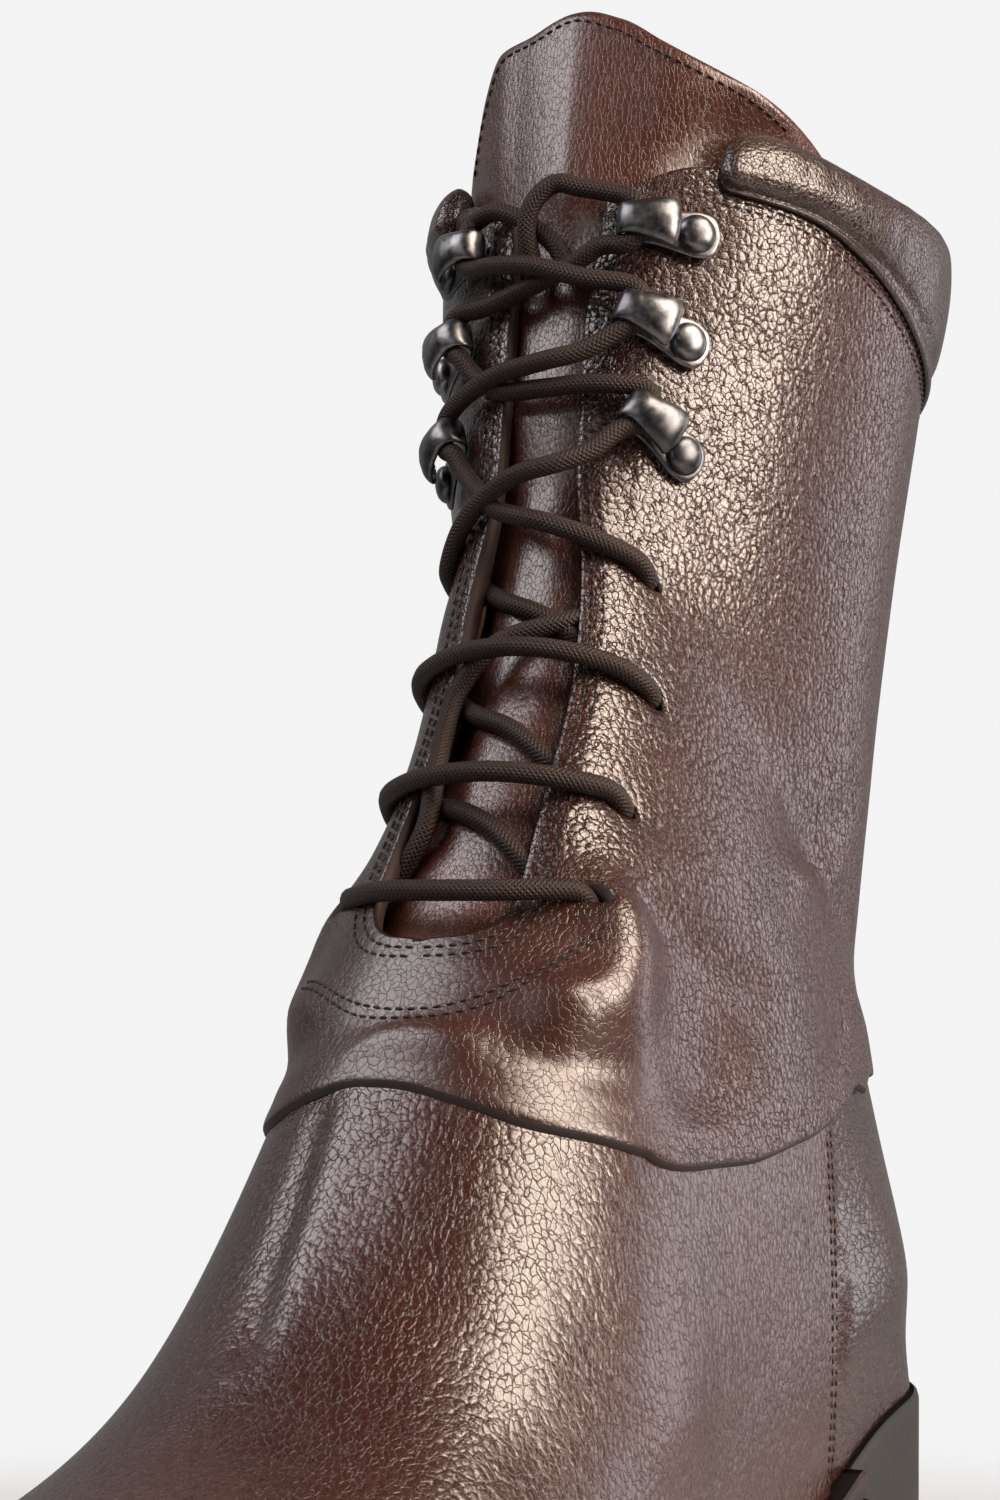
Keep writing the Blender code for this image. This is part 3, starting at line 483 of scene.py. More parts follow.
def hook_point(q, a, way, up, height):
    """Place in a hook's own frame: mm to the throat, mm up the shaft, mm off its foot, bent to the shaft."""
    place, side, rise, out = frames_at(q, a, SHAFT_STEP + GAP + .5)
    one, middle, two = (skin(q, a*share, SHAFT_STEP) for share in (.8, 1.0, 1.2))
    curve = np.linalg.norm(one + two - 2*middle)/(np.linalg.norm(two - one)/2)**2
    way, up, height = np.broadcast_arrays(*(np.asarray(v, float) for v in (way, up, height)))
    lift = height - curve*np.minimum(way, 6)**2/2
    return place + way[..., None]*side + up[..., None]*rise + lift[..., None]*out


RIVETS = np.array([hook_point(q, side*a, -RIVET_BACK, 0, 0) for q, a in HOOKS for side in (1, -1)])
HOLES = np.array([skin(q, side*a, SHAFT_STEP) for q, a in EYELETS for side in (1, -1)])


def mm_across(q):
    """Mm on the shaft for one unit of a, near the throat."""
    return np.linalg.norm(skin(q, .12, SHAFT_STEP) - skin(q, .10, SHAFT_STEP), axis=-1)/.02


def facing_flare(q, a):
    """Mm that the medial facing stands off the leg, most beside the third eyelet."""
    return 2.6*np.exp(-((q - 248)/36)**2 - ((a + .17)/.09)**2)


def nearest(points, places):
    """Distance of every point to the nearest of a few places."""
    return np.min([np.linalg.norm(points - place, axis=-1) for place in places], axis=0)


def shaft_relief(q, a):
    """Height of the shaft's folds and of the dents round rivets and eyelets, at q and a."""
    points = skin(q, a, SHAFT_STEP)
    deep, wide = RIVET_DENT
    dents = deep*np.exp(-(nearest(points, RIVETS)/wide)**2) - .5*np.exp(-(nearest(points, HOLES)/4.0)**2)
    folds = fold_relief(points, SHAFT_FOLDS, SHAFT_STEP)
    # troughs run out above the lower edge, where the vamp lies under the hide
    folds = np.where(folds < 0, folds*ease(q - steady(SHAFT_EDGE, np.abs(a)), 0, 26), folds)
    # the lateral facing bends in to its cut edge
    inwards = np.maximum(np.abs(a) - steady(THROAT, q), 0)*mm_across(q)
    edge = -1.2*np.exp(-(inwards/3.6)**2)*ease(q, 150, 166)*(a > 0)
    return folds + dents + edge + facing_flare(q, a)


def shaft_skin(q, a, above=0.0):
    """The shaft panel's outer face with its folds, and above mm over it."""
    return skin(q, a, SHAFT_STEP + shaft_relief(q, a) + above)


SEAM_X = 74.5             # where the vamp ends on the counter
SEAM_STEP = 0.7


def vamp_relief(q, a):
    """Height of the vamp's folds; behind the side seam the counter lies a step lower and fills out."""
    points = skin(q, a)
    behind = 1 - ease(points[..., 0], SEAM_X - .5, SEAM_X + .5)
    seam = -SEAM_STEP*behind - .5*np.exp(-((points[..., 0] - SEAM_X + .8)/1.0)**2)
    fill = 2.4*np.exp(-((np.abs(a) - .74)/.12)**2 - ((points[..., 2] - 78)/24)**2)*behind
    return fold_relief(points, VAMP_FOLDS, 0.0) + seam*ease(points[..., 2], 20, 40) + fill


def vamp_skin(q, a, above=0.0):
    """The vamp's outer face with its folds and seam, and above mm over it."""
    return skin(q, a, vamp_relief(q, a) + above)


# Materials

def linear(code):
    """sRGB hex colour to linear red, green, blue and alpha."""
    shades = np.array([int(code[k:k + 2], 16) for k in (1, 3, 5)])/255
    shades = np.where(shades <= .04045, shades/12.92, ((shades + .055)/1.055)**2.4)
    return (*shades.tolist(), 1.0)


def feed(node, inputs):
    """Gives inputs of a node their values, or links from other nodes' outputs."""
    for name, value in dict(inputs).items():
        if isinstance(value, bpy.types.NodeSocket):
            node.id_data.links.new(value, node.inputs[name])
        else:
            node.inputs[name].default_value = value


def add_node(tree, kind, inputs=(), out=0, **settings):
    """Adds a shader node with its settings and inputs and gives one of its outputs."""
    made = tree.nodes.new("ShaderNode" + kind)
    for name, value in settings.items():
        setattr(made, name, value)
    feed(made, inputs)
    return made.outputs[out]


def new_material(name):
    """An empty node material with its tree and shader."""
    material = bpy.data.materials.new(name)
    material.use_nodes = True
    return material, material.node_tree, material.node_tree.nodes["Principled BSDF"]


def per_mm(size):
    """Texture scale that gives a pattern of that size in mm on Object coordinates, which are metres."""
    return 1000/size


def leather(name, base, valley, worn, cell, depth, rough, dull, stretch=(1, 1, 1), shaded=False):
    """Grained leather: domed cells of that size in mm between thin dark cracks, and paler rubbed patches.

    The height rises from each crack over a tenth of a cell or less, for large cells and at a fifth of the
    depth for half as wide ones; it falls with the square of the distance from a cell's middle, and broad
    waves and fine noise are added. A crack is matt by the share dull. Where shaded, a point attribute
    darkens the hide towards the valley colour as painted shade, and calm flattens its grain and dulls it
    a little.
    """
    material, tree, shader = new_material(name)
    place = add_node(tree, "TexCoord", out="Object")
    place = add_node(tree, "Mapping", {"Vector": place, "Scale": stretch})
    # the borders of the cells wander by most of a cell
    wander = add_node(tree, "TexNoise", {"Vector": place, "Scale": per_mm(cell*1.6), "Detail": 3}, "Color")
    shift = add_node(tree, "VectorMath", {0: wander, 1: (.5, .5, .5)}, operation="SUBTRACT")
    shift = add_node(tree, "VectorMath", {0: shift, "Scale": cell*1.6*MM}, operation="SCALE")
    bent = add_node(tree, "VectorMath", {0: place, 1: shift})
    patchy = add_node(tree, "TexNoise", {"Vector": place, "Scale": per_mm(cell*3), "Detail": 2})
    width = add_node(tree, "MapRange", {"Value": patchy, "From Min": .3, "From Max": .7,
                                        "To Min": .025, "To Max": .1})
    tops = []
    for size in (cell, cell*.5):
        edge = add_node(tree, "TexVoronoi", {"Vector": bent, "Scale": per_mm(size)}, "Distance",
                        feature="DISTANCE_TO_EDGE")
        tops.append(add_node(tree, "MapRange", {"Value": edge, "From Max": width},
                             interpolation_type="SMOOTHSTEP"))
    top, small_top = tops
    middle = add_node(tree, "TexVoronoi", {"Vector": bent, "Scale": per_mm(cell)}, "Distance")
    fine = add_node(tree, "TexNoise", {"Vector": place, "Scale": per_mm(.35), "Detail": 3})
    dome = add_node(tree, "Math", {0: middle, 1: middle}, operation="MULTIPLY")
    height = top
    for part, weight in ((small_top, .18), (dome, -2.6), (fine, .1), (patchy, .9)):
        height = add_node(tree, "Math", {0: part, 1: weight, 2: height}, operation="MULTIPLY_ADD")
    broad = add_node(tree, "TexNoise", {"Vector": place, "Scale": per_mm(30), "Detail": 5, "Roughness": .62})
    rubbed = add_node(tree, "MapRange", {"Value": broad, "From Min": .4, "From Max": .7})
    ground = add_node(tree, "Mix", {0: rubbed, 6: linear(base), 7: linear(worn)}, 2, data_type="RGBA")
    gloss = add_node(tree, "MapRange", {"Value": fine, "To Min": rough - .05, "To Max": rough + .08})
    if shaded:
        # painted shade: a point attribute darkens the hide towards the valley colour
        painted_shade = add_node(tree, "Attribute", out="Fac", attribute_name="painted_shade")
        ground = add_node(tree, "Mix", {0: painted_shade, 6: ground, 7: linear(valley)}, 2, data_type="RGBA")
        calm = add_node(tree, "Attribute", out="Fac", attribute_name="calm")
        keep = add_node(tree, "Math", {0: 1.0, 1: calm}, operation="SUBTRACT")
        height = add_node(tree, "Math", {0: height, 1: keep}, operation="MULTIPLY")
        top = add_node(tree, "Mix", {0: calm, 2: top, 3: 1.0})
        gloss = add_node(tree, "Math", {0: calm, 1: .14, 2: gloss}, operation="MULTIPLY_ADD")
    colour = add_node(tree, "Mix", {0: top, 6: linear(valley), 7: ground}, 2, data_type="RGBA")
    bump = add_node(tree, "Bump", {"Height": height, "Strength": 1.0, "Distance": depth*MM})
    # no light gets out of a crack, so it has next to no gloss
    both = add_node(tree, "Math", {0: small_top, 1: .35, 2: .65}, operation="MULTIPLY_ADD")
    both = add_node(tree, "Math", {0: both, 1: top}, operation="MULTIPLY")
    shine = add_node(tree, "MapRange", {"Value": both, "To Min": 1 - dull, "To Max": 1.0})
    feed(shader, {"Base Color": colour, "Roughness": gloss, "Normal": bump, "Specular IOR Level": shine,
                  "IOR": 1.5})
    return material


def plain_stuff(name, base, dark, size, depth, rough, metallic=0.0):
    """Material of two near colours mixed by noise of that size in mm, with bump from the same noise."""
    material, tree, shader = new_material(name)
    place = add_node(tree, "TexCoord", out="Object")
    grain = add_node(tree, "TexNoise", {"Vector": place, "Scale": per_mm(size), "Detail": 5,
                                        "Roughness": .62})
    broad = add_node(tree, "TexNoise", {"Vector": place, "Scale": per_mm(size*12)})
    both = add_node(tree, "Math", {0: grain, 1: broad}, operation="MULTIPLY")
    share = add_node(tree, "MapRange", {"Value": both, "From Min": .14, "From Max": .38})
    colour = add_node(tree, "Mix", {0: share, 6: linear(dark), 7: linear(base)}, 2, data_type="RGBA")
    gloss = add_node(tree, "MapRange", {"Value": grain, "To Min": max(rough - .1, .05),
                                        "To Max": min(rough + .15, 1)})
    bump = add_node(tree, "Bump", {"Height": grain, "Strength": .6, "Distance": depth*MM})
    feed(shader, {"Base Color": colour, "Roughness": gloss, "Normal": bump, "Metallic": metallic})
    return material


def braided_cord():
    """Round waxed cotton lace: two families of diagonal strands on its own UV (mm along, share round).

    The height is the larger of two sine ridges that cross, so that pits lie between the strands.
    """
    material, tree, shader = new_material("waxed braided cotton lace")
    place = add_node(tree, "UVMap", uv_map="UVMap")
    axes = add_node(tree, "SeparateXYZ", {0: place}).node.outputs
    # strands 0.85 mm apart along the lace, coarser than the real 0.55 mm, and 10 round it
    along = add_node(tree, "Math", {0: axes["X"], 1: 2*math.pi/.85}, operation="MULTIPLY")
    round_it = add_node(tree, "Math", {0: axes["Y"], 1: 2*math.pi*10}, operation="MULTIPLY")
    ways = [add_node(tree, "Math", {0: along, 1: round_it}, operation=kind) for kind in ("ADD", "SUBTRACT")]
    ridges = [add_node(tree, "Math", {0: way}, operation="SINE") for way in ways]
    weave = add_node(tree, "Math", {0: ridges[0], 1: ridges[1]}, operation="MAXIMUM")
    share = add_node(tree, "MapRange", {"Value": weave, "From Min": -.6})
    colour = add_node(tree, "Mix", {0: share, 6: linear("#120b09"), 7: linear("#33241f")}, 2,
                      data_type="RGBA")
    bump = add_node(tree, "Bump", {"Height": share, "Strength": 1.0, "Distance": .16*MM})
    feed(shader, {"Base Color": colour, "Normal": bump, "Roughness": .5, "Specular IOR Level": .3})
    return material


# Waxed cowhide: pebbled cells about 1.4 mm wide whose tops are polished and whose valleys keep dark wax
SHAFT_LEATHER = leather("waxed cowhide, pebbled", "#341812", "#140604", "#3e2018", 1.35, .072, .19, .7,
                        shaded=True)
# The same hide stretched over the last, so its cells are smaller and flatter
VAMP_LEATHER = leather("waxed cowhide, stretched", "#341812", "#24100b", "#3d1f17", 1.2, .04, .22, .3,
                       (1, 1, .75))
# Smoother hide over the heel counter, its cells drawn out lengthwise
COUNTER_LEATHER = leather("waxed cowhide, smooth", "#2d1813", "#190a07", "#361d18", 1.3, .055, .21, .6,
                          (.5, 1, 1))
# Softer hide of the tongue, its fine cracks run up it
TONGUE_LEATHER = leather("soft red brown cowhide", "#46231a", "#30140d", "#4e291f", .8, .02, .24, .5,
                         (1, 1, .5))
# Smooth dark lamb leather over the collar's padding
ROLL_LEATHER = leather("smooth lamb leather", "#2d1914", "#190b08", "#351f19", .9, .045, .18, .4)
# Cut edge of the hide: matt brown fibres
RAW_EDGE = plain_stuff("raw leather edge", "#35201a", "#1d0f0b", .5, .12, .7)
# Pigskin lining, matt and tan
LINING = plain_stuff("tan pigskin lining", "#8a6f56", "#6d543f", .8, .06, .75)
# Waxed linen thread, a little darker than the hide
THREAD = plain_stuff("waxed linen thread", "#22120e", "#120806", .4, .05, .5)
# Stained leather of the sole's edge and of the shaft's turned edge
EDGE_LEATHER = plain_stuff("stained edge leather", "#24120d", "#120806", 1.2, .06, .6)
# Heel cover: hide stained black, rough and scuffed pale
HEEL_COVER = plain_stuff("scuffed heel cover", "#191615", "#0b0908", 1.6, .3, .6)
# Moulded nitrile rubber, matt with dust in its pores
RUBBER = plain_stuff("moulded black rubber", "#262524", "#171616", .9, .06, .68)
# Gunmetal plated brass, worn bright on the high places
GUNMETAL = plain_stuff("aged gunmetal plate", "#8f8f90", "#55565a", 1.5, .02, .32, 1.0)
LACE = braided_cord()


# Vamp and counter

HALF_COLUMNS = 110                        # from the ridge to the back, of the shaft too
VAMP_ROW_COUNT = 175
ROWS_UNDER_SHAFT = (1.5, 3.0, 4.5, 6.0)   # q above the shaft's lower edge
BRIDGE_PASSES = 24


def even_rows(place, count):
    """Row shares at equal steps of the mean length of five columns; place gives points (share, way)."""
    share = np.linspace(0, 1, 2400)
    lines = place(share[:, None], np.array([[0, .25, .5, .75, 1.0]]))
    steps = np.linalg.norm(np.diff(lines, axis=0), axis=-1).mean(1)
    along = np.concatenate([[0], np.cumsum(steps)])
    return np.interp(np.linspace(0, along[-1], count), along, share)


def hem_columns(count):
    """Values of a from 0 to 1, half evenly and half by the length of the shaft's lower edge.

    Its steep stretch over the side gets columns enough in this way.
    """
    fine = np.linspace(0, 1, 801)
    along = run_length(skin(steady(SHAFT_EDGE, fine), fine))
    return np.interp(np.linspace(0, 1, count + 1), (fine + along/along[-1])/2, fine)


def make_vamp():
    """Vamp and counter: the last's surface with folds, from the feather edge to 6 mm under the shaft."""
    half = hem_columns(HALF_COLUMNS)
    way = np.concatenate([-half[:0:-1], half])
    edge = steady(SHAFT_EDGE, np.abs(way))
    rows = even_rows(lambda share, side: skin(steady(SHAFT_EDGE, side)*share, side), VAMP_ROW_COUNT)
    heel_share = HEEL_BACK_Q/BACK_EDGE_Q
    rows[np.argmin(np.abs(rows - heel_share))] = heel_share
    q = np.concatenate([rows[:, None]*edge, np.array(ROWS_UNDER_SHAFT)[:, None] + edge])
    a = np.broadcast_to(way, q.shape)
    outer = vamp_skin(q, a)
    # the last has a weak corner above the back of the heel, which the hide bridges
    weight = (np.exp(-((q - HEEL_BACK_Q)/9)**2)*(1 - ease(np.abs(a), .72, .86)))[..., None]
    for _ in range(BRIDGE_PASSES):
        outer[1:-1] += weight[1:-1]*.5*((outer[:-2] + outer[2:])/2 - outer[1:-1])
    points, quads, kinds = grid_wall(outer, skin(q, a, -WALL))
    kinds[(kinds == 0) & (points[quads].mean(1)[:, 0] < SEAM_X)] = 3
    piece("vamp_leather", points, quads, [VAMP_LEATHER, LINING, RAW_EDGE, COUNTER_LEATHER], "leather_upper",
          ["upper"], kinds)


# Shaft panel

EDGE_ROWS = (0, .12, .35, .7, 1.1, 1.6, 2.2, 3.0, 4.0, 5.2, 6.4)     # mm above its lower edge
SHAFT_ROW_COUNT = 172
HEM_NOSE, HEM_THICK, HEM_FOOT = .6, .8, .15                           # mm of the turned edge
HOLE_RING, HOLE_WINDOW = 2, 5                                         # grid cells
HOLE_CELL = 1.3                                                       # mm from ring to ring


def beside_throat(away, top=392.0, count=160):
    """(q, a) of the line that keeps away mm from the throat's lateral edge, from below its foot upwards."""
    q = THROAT[0][0] + (top - THROAT[0][0])*np.linspace(0, 1, count)**1.8
    across = steady(THROAT, q)*mm_across(q)
    slope = np.stack([np.gradient(q), np.gradient(across)], -1)
    slope /= np.linalg.norm(slope, axis=1, keepdims=True)
    return q - away*slope[:, 1], (across + away*slope[:, 0])/mm_across(q)


def open_holes(q, a):
    """Moves grid places near each eyelet onto rings round it; gives the moved grid and the cells cut out.

    A square ring k cells from the eyelet becomes a circle of radius R + (k - 2) * cell, blended into the
    plain grid 5 cells out.
    """
    cut = np.zeros(q.shape, bool)
    span = np.arange(-HOLE_WINDOW, HOLE_WINDOW + 1)
    di, dj = np.meshgrid(span, span, indexing="ij")
    ring = np.maximum(np.abs(di), np.abs(dj))
    # turn of each place on its square ring, so that an eighth of the ring has an eighth of the turn
    turn = np.pi/4*np.where(np.abs(di) >= np.abs(dj), dj/np.maximum(np.abs(di), 1),
                            2*np.sign(dj) - di/np.maximum(np.abs(dj), 1)*np.sign(dj))
    back = (np.abs(di) >= np.abs(dj)) & (di < 0)
    turn = np.where(back, np.pi*np.where(dj >= 0, 1, -1) - turn, turn)
    radius = EYELET_RADIUS + (ring - HOLE_RING)*HOLE_CELL
    share = ease(HOLE_WINDOW - ring, 0, HOLE_WINDOW - HOLE_RING)
    share = np.where(ring < HOLE_RING, 1, share)
    for eyelet_q, eyelet_a in EYELETS:
        across = mm_across(np.array(eyelet_q))
        for sign in (1, -1):
            far = np.hypot(q - eyelet_q, (a - sign*eyelet_a)*across)
            i, j = np.unravel_index(np.argmin(far), far.shape)
            window = np.ix_(i + span, j + span)
            flip = np.sign(a[i, j + 1] - a[i, j - 1])
            q[window] += share*(eyelet_q + radius*np.cos(turn) - q[window])
            a[window] += share*(sign*eyelet_a + flip*radius*np.sin(turn)/across - a[window])
            cut[i - HOLE_RING:i + HOLE_RING, j - HOLE_RING:j + HOLE_RING] = True
    return q, a, cut[:-1, :-1]


def make_shaft():
    """Shaft panel: from its rolled lower edge to the collar, open at the throat, with punched eyelets."""
    way = hem_columns(HALF_COLUMNS)
    low = steady(SHAFT_EDGE, way)
    # q per mm square to the lower edge, more where that runs steeply
    ahead = np.minimum(way + .001, 1)
    side = np.linalg.norm(skin(low, ahead) - skin(low, ahead - .002), axis=-1)/.002
    tall = np.sqrt(1 + (np.gradient(low, way)/side)**2)
    way, low, tall = (np.concatenate([row, row[-2::-1]]) for row in (way, low, tall))
    sign = np.repeat([1, -1], [HALF_COLUMNS + 1, HALF_COLUMNS])
    top = steady(COLLAR_EDGE, way)
    # rows lie three times as close round the foot of the throat
    fine = np.linspace(0, 1, 2001)
    count = np.cumsum(1 + 2*np.exp(-((fine - .105)/.022)**2))
    share = np.interp(np.linspace(count[0], count[-1], SHAFT_ROW_COUNT), count, fine)[1:, None]
    rows = np.array(EDGE_ROWS)[:, None]
    q = low + rows*tall
    q = np.concatenate([q, q[-1] + (top - q[-1])*share])
    above = np.concatenate([rows + 0*low, rows[-1] + (top - low - rows[-1])*share])
    a = sign*throat_shift(way, q)
    q, a, cut = open_holes(q, a)
    # the lower edge is skived and turned under: a round nose, and the hide flares a little above it
    nose = quarter_round(above/HEM_NOSE)
    bead = .5*np.exp(-((above - 1.2)/2.2)**2)*(1 - ease(way, .5, .7))
    thick = HEM_THICK + (SHAFT_STEP - HEM_THICK)*ease(above, 0, 7)
    off = HEM_FOOT + nose*(thick - HEM_FOOT + bead) + shaft_relief(q, a)*ease(above, 0, 9)
    inside = np.where(above < 6.5, .08, -SHAFT_INSIDE)
    inside = np.minimum(inside, off - .07 - .9*ease(above, .2, 2))
    outer = skin(q, a, off)
    points, quads, kinds = grid_wall(outer, skin(q, a, inside), cut)
    # the turned edge itself is skived smooth and stained
    hem = (above[:-1, :-1] < .3)[~cut]
    kinds[:len(hem)][hem] = 3
    edge_q, edge_a = beside_throat(0.0)
    edges = [skin(edge_q[::6], side*edge_a[::6], SHAFT_STEP) for side in (1, -1)]
    # painted shade: darker by a share that fades with the mm from the throat's edge, the rivets, the eyelets
    # and the hem, where shade falls
    painted_shade = np.max([.35*np.exp(-(near_line(outer, edges[0])/9)**2),
                    .35*np.exp(-(near_line(outer, edges[1])/9)**2),
                    .5*np.exp(-(nearest(outer, RIVETS)/7)**2),
                    .6*np.exp(-(nearest(outer, HOLES)/5)**2),
                    .5*np.exp(-(above/.7)**2)], axis=0)
    # the hide is pulled smooth over the instep
    calm = .7*(1 - ease(q, 150, 192))*(1 - ease(np.abs(a), .3, .45))
    piece("shaft_leather", points, quads, [SHAFT_LEATHER, LINING, RAW_EDGE, EDGE_LEATHER], "leather_upper",
          ["upper"], kinds, {"painted_shade": np.tile(painted_shade.reshape(-1), 2), "calm": np.tile(calm.reshape(-1), 2)})


# Tongue

def tongue_place(across, along):
    """q, a and depth under the last of the tongue, from its foot (along 0) to its top edge (along 1)."""
    top = steady(TONGUE_TOP, across*TONGUE_TOP_HALF)
    half = TONGUE_FOOT_HALF + (TONGUE_TOP_HALF - TONGUE_FOOT_HALF)*along
    q = TONGUE_FOOT_Q + (top - TONGUE_FOOT_Q)*along
    a = across*half
    depth = SHAFT_INSIDE + .8 + TONGUE_TUCK*ease(np.abs(a), .1, .24)*ease(q, 345, 385)
    return q, a, depth + TONGUE_SINK*ease(q, 145, 165)*(1 - ease(q, 275, 310))


def tongue_rise(q, a):
    """Mm that the tongue stands off its sheet above the collar: a ridge, and halves that flare."""
    from_middle = np.sqrt((a*mm_across(np.minimum(q, 395.0)))**2 + .35)
    ridge = 2.8*np.maximum(1 - from_middle/15, 0)**1.5*ease(q, 372, 402)
    right = 7.0*ease(a, .04, .34)*ease(q, 402, 430)
    left = 2.6*ease(-a, .08, .24)*ease(q, 388, 420)
    return ridge + right + left


def make_tongue():
    """Tongue: a sheet that thins to its edges; above the collar its halves meet in a ridge like a roof's."""
    across, along = np.meshgrid(np.linspace(-1, 1, 161), np.linspace(0, 1, 220))
    q, a, depth = tongue_place(across, along)
    rise = tongue_rise(q, a) - depth
    thick = TONGUE_THICK - .9*ease(np.abs(across), .93, 1) - .7*ease(along, .98, 1)
    outer = skin(q, a, rise - .4*ease(np.abs(across), .95, 1) - .35*ease(along, .988, 1))
    points, quads, kinds = grid_wall(outer, skin(q, a, rise - thick))
    piece("tongue_leather", points, quads, [TONGUE_LEATHER, LINING, RAW_EDGE], "leather_tongue", ["tongue"],
          kinds)


# Collar roll

ROLL_ENDS = (.1875, 1.8125)   # a of its front ends, counted on over the back at 1


def make_collar_roll():
    """Padded roll: a smooth saddle section over the collar's edge, swept round the back of the shaft.

    Its lower edge has a thin piping, and both front ends close in a quarter round.
    """
    outside, inside = SHAFT_STEP + GAP + .1, -SHAFT_INSIDE - GAP - .1
    # share of the way from the roll's lower edge to the collar edge, share of its rise above it, offset
    bulge = np.array(((-.16, 0, outside), (-.16, 0, outside + .7), (-.10, 0, outside + 1.1),
                      (-.04, 0, outside + .8), (.02, 0, outside + .75), (.16, 0, outside + 2.0),
                      (.5, 0, outside + 3.0), (.8, 0, outside + 3.0), (1, .4, outside + 2.2),
                      (1, .8, outside + .6), (1, 1, .2), (1, .75, inside - .8), (1, .2, inside - 1.8),
                      (.75, 0, inside - 2.2), (.5, 0, inside - 1.6), (.4, 0, inside)))
    # the shares as mm, about, so that the section is read at even steps
    as_mm = np.array((11, 5, 1))
    bulge = smooth_line(bulge*as_mm, .3)/as_mm
    share, above, off = np.concatenate([bulge, ((1, .08, inside), (1, .08, outside))]).T
    first, last = ROLL_ENDS
    station = np.linspace(first, last, 260)[:, None]
    way = np.where(station > 1, 2 - station, station)
    side = np.where(station > 1, -1, 1)
    edge = steady(COLLAR_EDGE, way)
    low = steady(ROLL_LOWER_EDGE, way)
    rise = steady(ROLL_RISE, way)
    a = side*throat_shift(way, edge)
    length = np.linalg.norm(skin(edge + .5, a) - skin(edge - .5, a), axis=-1)
    # the hide is drawn in a little every 20 mm or so where the stitches hold it
    pull = 1 - .05*np.sin(station*61 + np.sin(station*23))**2
    middle = np.where(off > 0, outside, inside)
    puffed = middle + (off - middle)*np.where(np.abs(off - middle) > .9, pull, 1)
    rings = skin(low + (edge - low)*share + rise*above/length, a, puffed)
    end = np.minimum(station - first, last - station)[..., None]/.024
    centre = rings.mean(1, keepdims=True)
    rings = centre + (rings - centre)*quarter_round(end + .004)
    roll = piece("collar_roll_leather", *capped(rings), [ROLL_LEATHER], "leather_collar", ["collar_roll"])


# Hooks

RIVET_TURNED = ((0, .4), (3.5, .4), (3.5, 1.3), (3.4, 1.7), (3.1, 2.2), (2.6, 2.65), (1.9, 2.95),
                (1.0, 3.12), (0, 3.17))   # mm radius, mm over the hook's foot


def make_hook(name, q, a):
    """Speed hook: a rounded strip carried along its bent path, and a turned rivet with a domed head.

    The flap over the curl widens to its end like a fan, and its sides bend down by a power of the width.
    """
    # mm to the throat, mm off the foot, half width: the foot, the curl round the lace, the flap
    curl = np.radians((-50, -10, 30, 70))
    path = [(-9.4, .5, 2.4), (-8.0, .5, 3.7), (-5.2, .5, 4.3), (-2.0, .5, 3.8), (2.0, .5, 3.0),
            (5.5, .5, 2.8)]
    path += [(5.8 + 3.1*math.cos(turn), 3.6 + 3.1*math.sin(turn), 3.0) for turn in curl]
    path += [(4.6, 6.9, 3.5), (2.4, 6.9, 4.0), (.3, 6.5, 4.4), (-.9, 5.8, 4.5), (-1.4, 4.8, 4.4)]
    path = smooth_line(path, .4)
    slope = unit(np.gradient(path[:, :2], axis=0))
    turn = np.linspace(0, 2*np.pi, 24, endpoint=False)
    wide = squared(np.cos(turn), .5)
    thick = .6*squared(np.sin(turn), .7)
    number = np.arange(len(path))
    ends = np.minimum(number, number[::-1])
    half = path[:, 2]*(.55 + .45*quarter_round(ends/5))*quarter_round((ends + .02)/2)
    droop = 1.1*ease(number/len(path), .5, .75)[:, None]*np.abs(wide)**2.4
    strip = hook_point(q, a, path[:, :1] - slope[:, 1:]*thick, half[:, None]*wide,
                       path[:, 1:2] + slope[:, :1]*thick - droop)
    radius, height = np.array(RIVET_TURNED).T[..., None]
    head = np.linspace(0, 2*np.pi, 28, endpoint=False)
    rivet = hook_point(q, a, -RIVET_BACK + radius*np.cos(head), radius*np.sin(head), height)
    piece(name + "_metal", *joined([capped(strip), capped(rivet)]), [GUNMETAL], "gunmetal", [name])


# Lace

LACE_SIDES = 14
OVER, UNDER = 3.4, -2.5       # mm off the last of the lace's middle, over the facings and on the tongue
HOOK_TURN = ((7.2, -4.4, 3.3), (5.0, -2.0, 3.6), (4.7, 0, 3.7), (5.0, 2.0, 3.6), (7.2, 4.4, 3.3))


def lace_over(*places):
    """Places (q, a) or (q, a, off) of the lace; off is its height over the facings if not given."""
    q, a, off = np.array([place if len(place) == 3 else (*place, OVER) for place in places], float).T
    return skin(q, a, off + facing_flare(q, a)*(off > -1))


def round_hook(number, side, downwards=False):
    """The lace's way round a hook's neck, from below to above or downwards."""
    q, a = HOOKS[number - 1]
    way, up, height = np.array(HOOK_TURN[::-1] if downwards else HOOK_TURN, float).T
    return hook_point(q, side*a, way, up, height)


def through_eyelet(number, side, outwards):
    """The lace's way through an eyelet, from over the facing to under it or outwards."""
    q, a = EYELETS[number - 1]
    rows = [(q - 1.8, side*(a - .02), 2.9), (q - .4, side*(a - .003), 1.7), (q + .1, side*(a + .006), .1),
            (q, side*a, -1.6), (q, side*(a - .03), -2.6)]
    return lace_over(*(rows[::-1] if outwards else rows))


